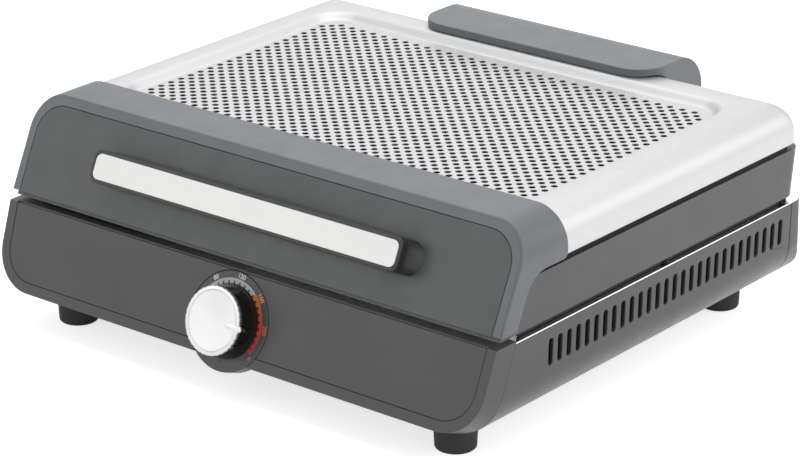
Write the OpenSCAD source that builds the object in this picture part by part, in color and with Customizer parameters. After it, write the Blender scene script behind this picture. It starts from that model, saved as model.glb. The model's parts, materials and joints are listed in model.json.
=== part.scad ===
// Electric indoor grill with a hinged lid and a perforated steel cover.
// Millimetres, +Z up, front towards -Y, symmetrical about X = 0. The modules work in a body
// frame whose Y zero is midway between the front and rear of the base's rim, and place()
// moves them so that the origin lies on the table under the middle of the whole appliance.

/* [Base] */
// Width of the base across its rim
body_w = 389; // [376:1:402]
// Depth of the base, from the top edge of its front face to its rear wall
body_d = 323; // [312:1:336]
// Height of the rim above the table
rim_z = 75.5; // [74.5:0.5:82]
// Height of the feet, which is the clearance under the base
foot_h = 19.5; // [17:0.5:20]
// Radius of the long rounded edges along the bottom
belly_r = 27; // [20:0.5:28]
// Inward draft of the side walls, in degrees
side_draft = 2; // [0.5:0.5:3]
// Wall thickness of the plastic mouldings
wall = 2.4; // [2:0.1:2.8]
// Open seam between neighbouring mouldings
seam = 0.4; // [0.2:0.1:0.6]
// Radius of the two vertical rear corners
rear_corner_r = 15; // [10:1:18]
// Depth of the rear cover
rear_cover_d = 19; // [17:0.5:20]

/* [Base front] */
// Lean of the front face, in degrees from vertical
base_lean = 20.5; // [16:0.5:22]
// Depth of the front bezel, square to its face
bezel_d = 17; // [15:0.5:19]
// Rise of the bezel's top edge above the rim
bezel_rise = 1; // [0.6:0.2:2]
// Border of the bezel round its inset panel
border_w = 6.6; // [5:0.2:8]
// Thickness of the inset front panels
panel_t = 2; // [1.6:0.1:2.4]
// Gap round an inset panel
panel_gap = 0.3; // [0.2:0.05:0.5]

/* [Vents] */
// Distance between slots
slot_pitch = 8.89; // [8:0.01:10]
// Width of a slot
slot_w = 4.2; // [3:0.1:5]
// Height of a slot
slot_h = 17; // [12:0.5:17.5]
// Distance from the rim down to the top of a slot
slot_drop = 8.5; // [7:0.5:9]
// Distance of the first slot behind the front face's top edge
slot_front = 52; // [46:1:70]
// Plain wall between the last slot and the rear cover
slot_rear = 7.5; // [6:0.5:12]

/* [Feet and screws] */
// Radius of a foot at its top
foot_r = 13.4; // [11:0.2:14]
// Distance of the front feet behind the front face's top edge
foot_front = 15.2; // [15:0.2:30]
// Distance of the rear feet ahead of the rear wall
foot_rear = 35.8; // [34:0.2:60]
// Radius of the case screws
screw_r = 1.75; // [1.5:0.05:2]
// Radius of their heads
screw_head_r = 3.4; // [3:0.1:3.8]

/* [Dial and knob] */
// Radius of the dial plate
dial_r = 30.7; // [28:0.1:31]
// Distance of the dial's centre below the face's top edge, along the face
dial_drop = 31.2; // [31:0.1:32]
// Thickness of the dial plate's rim
dial_t = 9.5; // [8:0.5:10]
// Radius of the knob's metal cap
knob_r = 21.1; // [18:0.1:22]
// Height of the knob above the dial
knob_h = 15; // [13:0.5:18]
// Direction of the knob's pointer, clockwise from the top, in degrees
pointer_a = 87; // [0:1:120]
// Radius of the control shaft
shaft_r = 3; // [2.5:0.1:3.2]
// Radial clearance of a turning fit
run_fit = 0.05; // [0.02:0.01:0.1]

/* [Lid front] */
// Overhang of the lid's front cover past the rim, on each side
lid_over = 0.8; // [0.2:0.1:2]
// Height of the lid's front lip above the rim
lid_lip = 7; // [6:0.5:9]
// Distance of the lid's face behind the base's face, at its lip
lid_back = 2.4; // [1.6:0.2:4]
// Lean of the lid's front face, in degrees from vertical
lid_lean = 25.7; // [22:0.1:28]
// Height of the lid's front face, measured along the lean
lid_face_h = 66.2; // [64:0.2:70]
// Depth of the front cover's flat top
top_band_d = 34.6; // [32:0.2:38]
// Thickness of the front cover's side walls
cover_wall = 1.8; // [1.6:0.1:2]
// Thickness of the front cover's top
cover_top = 2.4; // [2:0.1:2.8]
// Depth of the front cover's side arms, square to its face
side_wrap = 14; // [12:0.5:16]
// Radius of the hollow where a side arm meets the top
side_hollow_r = 20; // [14:1:24]
// Border of the front cover round its inset panel
lid_border_w = 6.4; // [5:0.2:8]

/* [Lid skirt and steel cover] */
// Height of the skirt's lower edge above the rim
skirt_lift = 2; // [1.5:0.1:4]
// Height of the skirt
skirt_h = 32.7; // [31:0.1:35]
// Lean of the skirt's rear wall, in degrees
skirt_lean = 8.5; // [5:0.5:10]
// Distance of the skirt's rear edge ahead of the base's rear wall
skirt_back = 6; // [5:0.5:8]
// Corner radius of the skirt
skirt_r = 12; // [8:1:14]
// Height of the seal between the skirt and the steel cover
seal_h = 3.6; // [2:0.1:4.2]
// Radius of the steel cover's corners
steel_r = 20; // [16:0.5:21]
// Thickness of the steel sheet
steel_t = 0.8; // [0.6:0.1:1]
// Distance of the steel cover's rear wall ahead of the base's rear wall
steel_back = 8.9; // [8.5:0.1:12]
// Steel border on each side of the sunken field
field_side = 29.2; // [27:0.2:40]
// Depth of the sunken field from front to rear
field_d = 217.2; // [200:0.2:220]
// Drop of the field below the border
field_drop = 5.6; // [4:0.2:7]
// Width of the sloping step round the field
step_w = 6.5; // [5:0.5:8]
// Corner radius of the field, at the border
field_r = 14; // [10:0.5:18]
// Hole diameter
hole_d = 4.4; // [3.6:0.1:5]
// Distance between holes in a row; every other row is offset by half
hole_pitch = 9.314; // [9:0.01:12]
// Plain margin beside the outer columns of holes
hole_side = 1.2; // [1:0.2:6]
// Plain margin before the first and after the last row
hole_end = 6; // [2:0.2:12]

/* [Handle] */
// Length of the handle bar
handle_l = 245; // [200:1:250]
// Height of the handle bar, along the face
handle_h = 21; // [18:0.5:26]
// Distance of the bar's middle up the lid's face
handle_up = 30; // [27:0.2:32]
// Distance of the bar's front from the lid's face
handle_out = 14.5; // [13:0.5:20]
// Thickness of the bar
handle_t = 6; // [5:0.5:7]
// Corner radius of the bar
handle_r = 5.5; // [4:0.5:8]
// Outward flare of each end post at the face
post_flare = 6; // [4:0.5:10]
// Width of an end post under the bar
post_w = 13.5; // [12:0.5:24]
// Border of the bar round its metal plate
plate_border = 2.3; // [1.6:0.1:4]
// Thickness of the metal plate
plate_t = 1.2; // [1:0.1:1.6]

/* [Hinge] */
// Half the width of the hinge cover
hinge_cover_x = 95; // [88:1:110]
// Height of the hinge cover's top above the steel border
hinge_cover_up = 5.5; // [4.5:0.5:7]
// Overlap of the hinge cover onto the steel cover
hinge_cover_lap = 30.4; // [27:0.2:32]
// Distance that the hinge cover reaches behind the base's rear wall
hinge_cover_back = 24.2; // [23:0.2:28]
// Radius of the hinge cover's rear edge
hinge_cover_r = 25; // [18:1:28]
// Radius of the hinge cover's front corners
hinge_corner_r = 22; // [12:1:26]
// Distance of the hinge axis behind the base's rear wall
axis_back = 11.5; // [11:0.5:12]
// Height of the hinge axis above the rim
axis_up = 8.5; // [8:0.5:10]
// Half the distance between the middles of the hinge lugs
lug_x = 68; // [50:1:76]
// Width of a hinge lug
lug_w = 14; // [10:1:18]
// Radius of a hinge lug round its pin
lug_r = 7; // [6:0.5:7]
// Radius of a hinge pin
pin_r = 3; // [2.5:0.1:4]
// Width of a hinge arm
arm_w = 9; // [7:0.5:12]

/* [Cooking well] */
// Thickness of the well's polished sheet
pan_t = 1; // [0.8:0.1:1.2]
// Rim on each side of the well
well_side = 26.5; // [25:0.5:32]
// Distance of the well's front wall behind the front face's top edge
well_front = 31.2; // [30:0.2:36]
// Distance of the well's rear wall ahead of the base's rear wall
well_back = 21.8; // [21:0.2:26]
// Corner radius of the well
well_r = 15; // [12:1:20]
// Width of the ledge that carries the grill plate
ledge_w = 9; // [7:0.5:10]
// Depth of the ledge below the rim
ledge_drop = 15.5; // [14:0.5:17]
// Depth of the well's floor below the rim
well_drop = 45.5; // [44.5:0.5:46]
// Clearance round the grill plate
plate_gap = 1.5; // [1:0.1:2]
// Thickness of the grill plate's web
plate_web = 5; // [4:0.5:6]
// Width of the grill plate's raised edge
plate_edge = 8; // [6:0.5:10]
// Height of the grill plate's ribs above its web
rib_h = 6; // [4:0.5:7]
// Width of a rib at its foot
rib_w = 5; // [4:0.5:7]
// Distance between ribs
rib_pitch = 18; // [14:0.5:24]
// Depth of the grease catch from front to rear
catch_d = 25; // [20:0.5:30]
// Height of the grease catch
catch_h = 15.5; // [12:0.5:16]

/* [Heating element] */
// Radius of the sheathed element
element_r = 4; // [3:0.2:4.4]
// Distance between the element's runs
run_pitch = 72; // [60:1:76]
// Height of the element's centre above the well's floor
element_up = 22; // [21:0.5:23]
// Radius of the temperature sensor's bulb
bulb_r = 3; // [2.5:0.1:3.4]
// Length of the bulb inside the well
bulb_l = 72; // [60:1:90]

/* [Hidden] */
$fn = 96;

cut = 1;                                  // overshoot of a cutting solid
seat = 0.3;                               // gap between two shaped pieces that sit together
rest = 0.1;                               // gap under a loose piece that rests on its seat
small_fn = 32;                            // facets of screws, leads and other small rounds

// Base
front_y = -body_d / 2;                    // top edge of the base's front face
rear_y = body_d / 2;                      // rear wall of the base
bezel_top_z = rim_z + bezel_rise;
shell_top_z = rim_z - pan_t;              // upper edge of the shell, under the well's flange
floor_z = foot_h + wall;                  // inner floor of the shell
base_face_h = (bezel_top_z - foot_h - bezel_d * sin(base_lean)) / cos(base_lean);
bezel_back = bezel_d / cos(base_lean);    // horizontal depth of the bezel
bezel_r = belly_r / cos(base_lean);
front_wall = panel_t + 2;                 // bezel wall, with the recess of its inset panel
cover_y = rear_y - rear_cover_d;          // parting line of the rear cover
flange_y = base_face_y(rim_z) + bezel_back + seat;
flat_x = side_x(foot_h + belly_r * (1 - sin(side_draft))) - belly_r * cos(side_draft);
foot_x = flat_x - foot_r;
foot_front_y = front_y + foot_front;
foot_rear_y = rear_y - foot_rear;
foot_base_r = foot_r - 0.8;
foot_edge_r = 2;                          // rounding of a foot's lower edge
foot_bore_r = screw_head_r + 0.6;         // recess that takes a foot screw's head
foot_bore_h = 9;
slot_y = front_y + slot_front;
slot_n = floor((cover_y - slot_rear - slot_w / 2 - slot_y) / slot_pitch) + 1;
slot_z = rim_z - slot_drop - slot_h / 2;
boss_r = 5;                               // screw bosses of the rear cover
boss_x = body_w / 2 - 14.5;
boss_zs = [rim_z - 39.5, rim_z - 12];
boss_l = 8;                               // length of the shell's own bosses
boss_rib = 3;
head_h = 2.2;                             // height of a screw head
shield_pad_r = 5;
shield_pad_h = 2.6;
shield_pad_xy = [120, 90];

// Dial, knob and control
dial_z = bezel_top_z - dial_drop * cos(base_lean);
dial_y = base_face_y(dial_z);
dial_wall = 2.4;
dial_cup_t = 2;                           // pocket wall round and behind the dial plate
dial_back = dial_t + rest + dial_cup_t;   // depth of the pocket's outer face
bushing_r = shaft_r + 2;                  // threaded bushing of the control
control_size = [30, 26, 15];              // control body: across, along and into the face
shaft_in = dial_back + 11;                // depth of the shaft's inner end below the face
knob_gap = 0.5;                           // running gap between the dial and the knob
skirt_foot_r = knob_r + 1.7;
cap_h = 2.2;
cap_t = 1.4;
cap_z = knob_h - cap_h;
hub_r = shaft_r + 3;
flute_n = 36;                             // fine flutes round the cap
flute_r = 0.9;

// Lid
lid_w = body_w + 2 * lid_over;
lid_lip_z = rim_z + lid_lip;
lid_face_y = front_y + lid_back;          // foot of the lid's front face
lid_top_z = lid_lip_z + lid_face_h * cos(lid_lean);
lid_top_y = lid_face_at(lid_top_z);
band_rear_y = lid_top_y + top_band_d;
lid_r = steel_r + seat + cover_wall + 0.4;
lid_face_r = lid_r / cos(lid_lean);
lid_wall_y = front_wall / cos(lid_lean);  // horizontal thickness of the lid's front wall
wrap_y = side_wrap / cos(lid_lean);
arm_end_r = 4;                            // rounding of the front cover's rear lower corner
lid_panel_w = lid_w - 2 * lid_border_w;
lid_panel_h = lid_face_h - lid_border_w;
lid_panel_r = lid_face_r - lid_border_w + 1.4;
steel_front_y = lid_top_y + 8;
steel_rear_y = rear_y - steel_back;
skirt_z = rim_z + skirt_lift;
skirt_top_z = skirt_z + skirt_h;
skirt_w = lid_w - 2 * cover_wall - 1;
skirt_rear_y = rear_y - skirt_back;
skirt_flange = 8;
seal_in = 1.3;                            // inset of the seal from the steel cover's edge
steel_w = lid_w - 2 * (cover_wall + seat);
steel_low_z = skirt_top_z + seal_h;
steel_top_z = lid_top_z - cover_top - seat;
shoulder_r = steel_r - 0.5;               // pressed shoulder, just inside the corner radius
steel_mid_z = steel_top_z - shoulder_r;   // height at which the shoulder begins
steel_d = steel_rear_y - steel_front_y;
steel_y = (steel_rear_y + steel_front_y) / 2;
steel_lip = 7;                            // inward flange along the steel cover's lower edge
wrap_low_z = steel_low_z - 0.8;           // lower edge of the front cover's side
field_under = 1.4;                        // front edge of the field, under the front cover
field_y = band_rear_y - field_under + field_d / 2;
field_w = steel_w - 2 * field_side;
mesh_top_z = steel_top_z - field_drop;
mesh_w = field_w - 2 * step_w;
mesh_d = field_d - 2 * step_w;
hole_cols = floor((mesh_w / 2 - hole_side - hole_d / 2) / (hole_pitch / 2));
hole_rows = floor((mesh_d / 2 - hole_end - hole_d / 2) / (hole_pitch / 2));
bumper_r = 3.4;
bumper_x = skirt_w / 2 - bumper_r;
bumper_mid_y = front_y + 170;
bumper_rear_y = rear_y - 25;
handle_screw_x = handle_l / 2 - post_w / 2;
handle_screw_in = handle_out - 4;
handle_plate_l = handle_l - 2 * plate_border;
handle_plate_h = handle_h - 2 * plate_border;
handle_plate_r = handle_r - 1.3;
post_edge = 2.5;                          // rim of the bar above an end post's flare

// Hinge
axis_y = rear_y + axis_back;
axis_z = rim_z + axis_up;
hinge_top_z = steel_top_z + hinge_cover_up;
hinge_front_y = steel_rear_y - hinge_cover_lap;
hinge_rear_y = rear_y + hinge_cover_back;
hinge_low_z = axis_z + lug_r + 1;
hinge_t = 2;
arm_gap = 0.3;                            // side gap between a hinge arm and its lug
arm_x = lug_x - lug_w / 2 - arm_gap - arm_w;
arm_low = 26;                             // span of a hinge arm's foot below the skirt's top
arm_high = 3;
arm_screw_drops = [8, 20];
arm_screw_l = 12;
lug_low_z = rim_z - 32;
pin_head_r = pin_r + 1.5;
pin_head_t = 1.5;

// Well, plate, catch and element
well_w = body_w - 2 * well_side;
well_d = body_d - well_front - well_back;
well_y = (well_front - well_back) / 2;
pit_w = well_w - 2 * ledge_w;             // lower well
pit_d = well_d - 2 * ledge_w;
pit_r = well_r - 4;
pit_front_y = well_y - pit_d / 2;
pit_rear_y = well_y + pit_d / 2;
ledge_z = rim_z - ledge_drop;
pit_z = rim_z - well_drop;
plate_z = ledge_z + rest;
plate_w = well_w - 2 * plate_gap;
plate_d = well_d - 2 * plate_gap;
plate_r = well_r - plate_gap;
plate_h = rim_z - plate_z;                // the plate's raised edge ends level with the rim
plate_top_z = plate_z + plate_web;
rib_top_w = rib_w - 2;
rib_n = floor((plate_w / 2 - plate_edge - 14) / rib_pitch);
drain_n = 4;
drain_l = 34;
drain_w = 6;
drain_pitch = 46;
catch_gap = 1.6;                          // between the catch and the well's rear wall
catch_front_y = pit_rear_y - catch_gap - catch_d;
leg_x = 1.5 * run_pitch;                  // outer runs, which leave through the rear wall
catch_w = 2 * (leg_x - element_r - 6);
catch_t = 1.2;
catch_r = 6;
rib_rear_y = catch_front_y - 4;
rib_front_y = well_y - plate_d / 2 + plate_edge + 6;
element_z = pit_z + element_up;
turn_front_y = pit_front_y + 10 + element_r + run_pitch / 2;
turn_rear_y = catch_front_y - 6 - element_r - run_pitch / 2;
leg_rear_y = pit_rear_y + 21;
bush_r = ledge_z - pan_t - seat - element_z; // it fits under the ledge
bush_l = 4.5;
bracket_front_y = pit_front_y + 60;
bracket_rear_y = turn_rear_y - 20;
bracket_t = 1.2;
bracket_x = leg_x + element_r + 5;
bulb_z = pit_z + 14;
bulb_rear_y = pit_front_y + bulb_l;
tube_r = 1;
block_size = [44, 13, 17];                // terminal block
block_y = rear_y - wall - 2 - block_size.y / 2;
lead_r = 1.2;
lead_z = floor_z + 14;
fuse_x = [48, 64];
fuse_r = 2.6;
gland_x = -44;
gland_z = foot_h + 22;
gland_r = 6;
shield_t = 0.8;
shield_z = floor_z + shield_pad_h;
shield_side = 8;                          // the shield's margin inside the lower well's walls
shield_edge_h = 2.6;

// Middle of the whole appliance: the knob's lower front edge and the hinge cover's rear
knob_front_y = dial_y - knob_h * cos(base_lean) - knob_r * sin(base_lean);
middle_y = (hinge_rear_y + knob_front_y) / 2;

function base_face_y(z) = front_y - (bezel_top_z - z) * tan(base_lean);
function side_x(z) = body_w / 2 - (rim_z - z) * tan(side_draft);
function lid_face_at(z) = lid_face_y + (z - lid_lip_z) * tan(lid_lean);
function skirt_wall_y(z) = skirt_rear_y - (skirt_top_z - z) * tan(skirt_lean);
function control_back_y(z) = dial_y + (dial_back + rest + control_size.z) / cos(base_lean)
  + (z - dial_z) * tan(base_lean);
function polar(r, a) = [r * cos(a), r * sin(a)];

// ------------------------------------------------------------------ shared shapes

module place() translate([0, -middle_y, 0]) children();

// A profile drawn in (y, z), extruded along X about the middle.
module along_x(length) rotate([90, 0, 90]) linear_extrude(length, center = true) children();

// A profile drawn in (x, z), extruded along Y about the middle.
module along_y(length) rotate([90, 0, 0]) linear_extrude(length, center = true) children();

// The frames of the two leaning front faces: x across, y up the face, z outward.
module on_base_face() translate([0, front_y, bezel_top_z]) rotate([90 - base_lean, 0, 0]) children();
module on_lid_face() translate([0, lid_face_y, lid_lip_z]) rotate([90 - lid_lean, 0, 0]) children();
module on_dial() on_base_face() translate([0, -dial_drop, 0]) children();

// The frame of the skirt's rear wall: x across, y outward, z up the wall, zero at its top.
module on_skirt_rear() translate([0, skirt_rear_y, skirt_top_z]) rotate([-skirt_lean, 0, 0]) children();

module below(z) translate([-body_w, -body_d, z - 2 * body_w]) cube([2 * body_w, 2 * body_d, 2 * body_w]);

module rounded_rect(w, d, r) {
  square([w - 2 * r, d], center = true);
  square([w, d - 2 * r], center = true);
  for (x = [-1, 1], y = [-1, 1]) translate([x * (w / 2 - r), y * (d / 2 - r)]) circle(r);
}

// A round-ended bar of full length l.
module slot(l, w) {
  square([l - w, w], center = true);
  for (x = [-1, 1]) translate([x * (l - w) / 2, 0]) circle(d = w);
}

// What rounding takes off the corner at v, between edges that leave it at the angles a1 and a2.
module round_off(v, a1, a2, r) {
  half = (a2 - a1) / 2;
  center = v + polar(r / sin(half), (a1 + a2) / 2);
  difference() {
    polygon([center, v + polar(r / tan(half), a1), v - polar(cut, (a1 + a2) / 2),
      v + polar(r / tan(half), a2)]);
    translate(center) circle(r);
  }
}

// An open trough with drafted sides and round lower corners, half wide at the height ref.
module trough(half, ref, low, high, r) {
  low_x = half - (ref - low) * tan(side_draft);
  high_x = half - (ref - high) * tan(side_draft);
  difference() {
    polygon([[-high_x, high], [high_x, high], [low_x, low], [-low_x, low]]);
    for (side = [0, 1]) mirror([side, 0]) round_off([low_x, low], 90 - side_draft, 180, r);
  }
}

// An arch that stands on y = 0, with round upper corners.
module arch(w, h, r) {
  translate([-w / 2, 0]) square([w, h - r]);
  translate([-w / 2 + r, 0]) square([w - 2 * r, h]);
  for (x = [-1, 1]) translate([x * (w / 2 - r), h - r]) circle(r);
}

// The filling of a hollow corner at v between edges that leave it at the angles a1 and a2.
module fillet(v, a1, a2, r) {
  half = (a2 - a1) / 2;
  center = v + polar(r / sin(half), (a1 + a2) / 2);
  difference() {
    polygon([v, v + polar(r / tan(half), a1), center, v + polar(r / tan(half), a2)]);
    translate(center) circle(r);
  }
}

// Carries a profile round a rounded rectangle. The profile's x runs outward from the corner
// centres and its y is the height.
module ring_sweep(w, d, r) {
  for (x = [0, 1], y = [0, 1]) mirror([x, 0, 0]) mirror([0, y, 0])
    translate([w / 2 - r, d / 2 - r, 0]) rotate_extrude(angle = 90) children();
  for (x = [0, 1]) mirror([x, 0, 0]) translate([w / 2 - r, 0, 0]) along_y(d - 2 * r) children();
  for (y = [0, 1]) mirror([0, y, 0]) translate([0, d / 2 - r, 0]) rotate([90, 0, 90])
    linear_extrude(w - 2 * r, center = true) children();
}

// A pan-head screw along +Z: its head lies below zero and its shank above.
module screw(length) {
  translate([0, 0, -head_h]) cylinder(h = head_h, r = screw_head_r, $fn = small_fn);
  cylinder(h = length, r = screw_r, $fn = small_fn);
}

module foot_places(z) for (x = [-foot_x, foot_x], y = [foot_front_y, foot_rear_y])
  translate([x, y, z]) children();

// ------------------------------------------------------------------ base mouldings

// Side view of the shell, between its slanting front seam and the rear cover.
module shell_side_view() {
  low = foot_h - cut;
  back = bezel_back + seam;
  polygon([[base_face_y(low) + back, low], [cover_y - seam, low],
    [cover_y - seam, shell_top_z], [base_face_y(shell_top_z) + back, shell_top_z]]);
}

module shell_vents() for (i = [0 : slot_n - 1]) translate([0, slot_y + i * slot_pitch, slot_z])
  along_x(body_w + 2 * cut) rotate(90) slot(slot_h, slot_w);

// Screw bosses along Y, with a rib that ties each to the side wall.
module bosses(y, length) intersection() {
  along_y(2 * body_d) trough(body_w / 2 - cut, rim_z, foot_h + cut, rim_z, belly_r - cut);
  for (x = [-1, 1], z = boss_zs) translate([x * boss_x, y, z]) {
    rotate([-90, 0, 0]) cylinder(h = length, r = boss_r, $fn = small_fn);
    translate([x > 0 ? 0 : -body_w, 0, -boss_rib / 2]) cube([body_w, length, boss_rib]);
  }
}

module boss_holes(y, length) for (x = [-1, 1], z = boss_zs) translate([x * boss_x, y, z])
  rotate([-90, 0, 0]) cylinder(h = length, r = screw_r + rest, $fn = small_fn);

// Side and bottom shell: a drafted trough with a row of vents along each side.
module base_shell() color("#6b6d6f") place() difference() {
  union() {
    intersection() {
      along_y(2 * body_d) difference() {
        trough(body_w / 2, rim_z, foot_h, rim_z, belly_r);
        trough(body_w / 2 - wall, rim_z, floor_z, rim_z + cut, belly_r - wall);
      }
      along_x(body_w + 2 * cut) shell_side_view();
    }
    bosses(cover_y - seam - boss_l, boss_l);
    for (x = [-1, 1], y = [-1, 1]) translate([x * shield_pad_xy.x, y * shield_pad_xy.y, floor_z - cut])
      cylinder(h = shield_pad_h + cut, r = shield_pad_r, $fn = small_fn);
  }
  shell_vents();
  boss_holes(cover_y - boss_l - cut, boss_l + 2 * cut);
  foot_places(foot_h - cut) cylinder(h = wall + 2 * cut, r = screw_r + rest, $fn = small_fn);
}

// Rear cover: closes the trough and rounds its two vertical corners.
module rear_cover_body(inset, low, y, top) intersection() {
  along_y(2 * body_d) trough(body_w / 2 - inset, rim_z, low, top, belly_r - inset);
  linear_extrude(rim_z + cut) intersection() {
    rounded_rect(body_w - 2 * inset, body_d - 2 * inset, rear_corner_r - inset);
    translate([-body_w, y]) square([2 * body_w, body_d]);
  }
}

module base_rear_cover() color("#616365") place() difference() {
  union() {
    difference() {
      rear_cover_body(0, foot_h, cover_y, shell_top_z);
      rear_cover_body(wall, floor_z, cover_y - cut, rim_z);
    }
    intersection() {
      rear_cover_body(0, foot_h, cover_y, shell_top_z);
      bosses(cover_y, rear_cover_d - wall / 2);
    }
  }
  boss_holes(cover_y - cut, rear_cover_d + 2 * cut);
  for (x = [-1, 1], z = boss_zs) translate([x * boss_x, rear_y - head_h - rest, z])
    rotate([-90, 0, 0]) cylinder(h = head_h + cut, r = screw_head_r + rest, $fn = small_fn);
  translate([gland_x, rear_y, gland_z]) rotate([90, 0, 0])
    cylinder(h = 4 * wall, r = gland_r + rest, center = true, $fn = 48);
}

module rear_cover_screws() color("#b9bcbe") place() for (x = [-1, 1], z = boss_zs)
  translate([x * boss_x, rear_y - head_h - rest, z]) mirror([0, 1, 0]) rotate([-90, 0, 0]) {
    mirror([0, 0, 1]) cylinder(h = head_h, r = screw_head_r, $fn = small_fn);
    cylinder(h = rear_cover_d + boss_l - 4, r = screw_r, $fn = small_fn);
  }

// Bushing in the rear cover where the supply leads pass.
module cord_gland() color("#1e1f20") place() translate([gland_x, rear_y, gland_z])
  rotate([90, 0, 0]) rotate_extrude($fn = 48) difference() {
    union() {
      translate([0, -3]) square([gland_r + 2.5, 3]);
      translate([0, -3]) square([gland_r, 3 + wall + 1]);
      translate([0, wall]) square([gland_r + 1.4, 2]);
    }
    translate([0, -4]) square([gland_r - 2.4, 20]);
  }

// Outline of the bezel in the face's frame, up to the height top.
module bezel_outline(inset, top) trough(side_x(bezel_top_z) - inset, 0, -base_face_h + inset, top,
  bezel_r - inset);

// The space inside the front panel's border; the panel runs out at the top edge.
module base_panel_outline(gap, top) trough(side_x(bezel_top_z) - border_w - gap, 0,
  -base_face_h + border_w + gap, top, bezel_r - border_w - gap);

// Front bezel: a leaning frame with a recess for its panel and a pocket for the dial.
module base_bezel() color("#525355") place() {
  over = bezel_d * tan(base_lean) + cut;
  intersection() {
    below(bezel_top_z);
    on_base_face() difference() {
      union() {
        difference() {
          translate([0, 0, -bezel_d]) linear_extrude(bezel_d) bezel_outline(0, over);
          bezel_hollow(over);
        }
        translate([0, -dial_drop, -dial_back]) intersection() {
          cylinder(h = dial_back, r = dial_r + panel_gap + dial_cup_t);
          translate([0, dial_drop, 0]) linear_extrude(dial_back) bezel_outline(0, over);
        }
      }
      translate([0, 0, -panel_t]) linear_extrude(panel_t + cut) base_panel_outline(0, over);
      translate([0, -dial_drop, -dial_t - rest]) cylinder(h = dial_t + cut, r = dial_r + panel_gap);
      translate([0, -dial_drop, -bezel_d]) cylinder(h = bezel_d, r = bushing_r + rest, $fn = small_fn);
    }
  }
}

// The bezel's inner space, in the face's frame: behind the front wall and under the top wall.
module bezel_hollow(over) intersection() {
  translate([0, 0, -bezel_d - cut]) linear_extrude(bezel_d + cut - front_wall) bezel_outline(wall, over);
  rotate([base_lean - 90, 0, 0]) translate([0, -front_y, -bezel_top_z]) below(bezel_top_z - wall);
}

// Inset front panel of the base, cut round the dial.
module base_front_panel() color("#47484a") place() on_base_face() difference() {
  translate([0, 0, -panel_t]) linear_extrude(panel_t) base_panel_outline(panel_gap, -panel_gap);
  translate([0, -dial_drop, -panel_t - cut]) cylinder(h = panel_t + 2 * cut, r = dial_r + panel_gap);
}

// Dial plate: a shallow cup, hollow behind, that hangs a little below the bezel.
module dial_plate() color("#2c2d2f") place() on_dial() difference() {
  translate([0, 0, -dial_t]) cylinder(h = dial_t, r = dial_r);
  translate([0, 0, -dial_t - cut]) linear_extrude(dial_t + cut - dial_wall) difference() {
    circle(dial_r - dial_wall);
    circle(bushing_r + 3);
  }
  translate([0, 0, -dial_t - cut]) cylinder(h = dial_t + 2 * cut, r = bushing_r + rest, $fn = small_fn);
}

// ------------------------------------------------------------------ feet

module foot(x, y) color("#333333") place() translate([x, y, 0]) rotate_extrude() difference() {
  union() {
    translate([foot_base_r - foot_edge_r, foot_edge_r]) circle(foot_edge_r, $fn = small_fn);
    polygon([[0, 0], [foot_base_r - foot_edge_r, 0], [foot_base_r, foot_edge_r], [foot_r, foot_h],
      [0, foot_h]]);
  }
  translate([-cut, -cut]) square([foot_bore_r + cut, foot_bore_h + cut]);
  translate([-cut, 0]) square([screw_r + rest + cut, foot_h + cut]);
}

module foot_front_left() foot(-foot_x, foot_front_y);
module foot_front_right() foot(foot_x, foot_front_y);
module foot_rear_left() foot(-foot_x, foot_rear_y);
module foot_rear_right() foot(foot_x, foot_rear_y);

module foot_screws() color("#b9bcbe") place() foot_places(foot_bore_h)
  screw(floor_z + 1.5 - foot_bore_h);

// ------------------------------------------------------------------ cooking well

module well_step(w, d, r, low, high) translate([0, well_y, low]) linear_extrude(high - low)
  rounded_rect(w, d, r);

// Polished well: a flat flange over the whole rim, an upper well with a ledge and a lower well.
module cooking_well() color("#d7d9da") place() difference() {
  union() {
    translate([0, 0, shell_top_z]) linear_extrude(pan_t) intersection() {
      rounded_rect(body_w - 0.4, body_d - 0.4, rear_corner_r);
      translate([-body_w, flange_y]) square([2 * body_w, body_d]);
    }
    well_step(well_w + 2 * pan_t, well_d + 2 * pan_t, well_r + pan_t, ledge_z - pan_t, rim_z);
    well_step(pit_w + 2 * pan_t, pit_d + 2 * pan_t, pit_r + pan_t, pit_z - pan_t, ledge_z);
  }
  well_step(well_w, well_d, well_r, ledge_z, rim_z + cut);
  well_step(pit_w, pit_d, pit_r, pit_z, ledge_z + cut);
  for (x = [-leg_x, leg_x]) translate([x, pit_rear_y, element_z]) rotate([90, 0, 0])
    cylinder(h = 8, r = element_r + seat, center = true, $fn = 48);
  translate([0, pit_front_y, bulb_z]) rotate([90, 0, 0])
    cylinder(h = 8, r = bulb_r + rest, center = true, $fn = small_fn);
}

// Bright sheet under the well, standing on pads of the shell.
module heat_shield() color("#c2c5c7") place() translate([0, well_y, shield_z]) difference() {
  linear_extrude(shield_edge_h) rounded_rect(pit_w - 2 * shield_side, pit_d - 2 * shield_side, pit_r);
  translate([0, 0, shield_t]) linear_extrude(shield_edge_h)
    rounded_rect(pit_w - 2 * (shield_side + shield_t), pit_d - 2 * (shield_side + shield_t),
      pit_r - shield_t);
}

// ------------------------------------------------------------------ heater and control

module run(x, y1, y2) translate([x, y1, element_z]) rotate([-90, 0, 0])
  cylinder(h = y2 - y1, r = element_r, $fn = 48);

// A half turn between two runs; way is -1 at the front and 1 at the rear.
module half_turn(x, y, way) translate([x, y, element_z]) rotate([0, 0, way > 0 ? 0 : 180])
  rotate_extrude(angle = 180) translate([run_pitch / 2, 0]) circle(element_r, $fn = 48);

// Sheathed element: four runs joined by three half turns, its ends out through the rear wall.
module heating_element() color("#3d3b3a") place() {
  for (x = [-1, 1]) {
    run(x * leg_x, turn_front_y, leg_rear_y);
    run(x * run_pitch / 2, turn_front_y, turn_rear_y);
    half_turn(x * run_pitch, turn_front_y, -1);
  }
  half_turn(0, turn_rear_y, 1);
}

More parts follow.
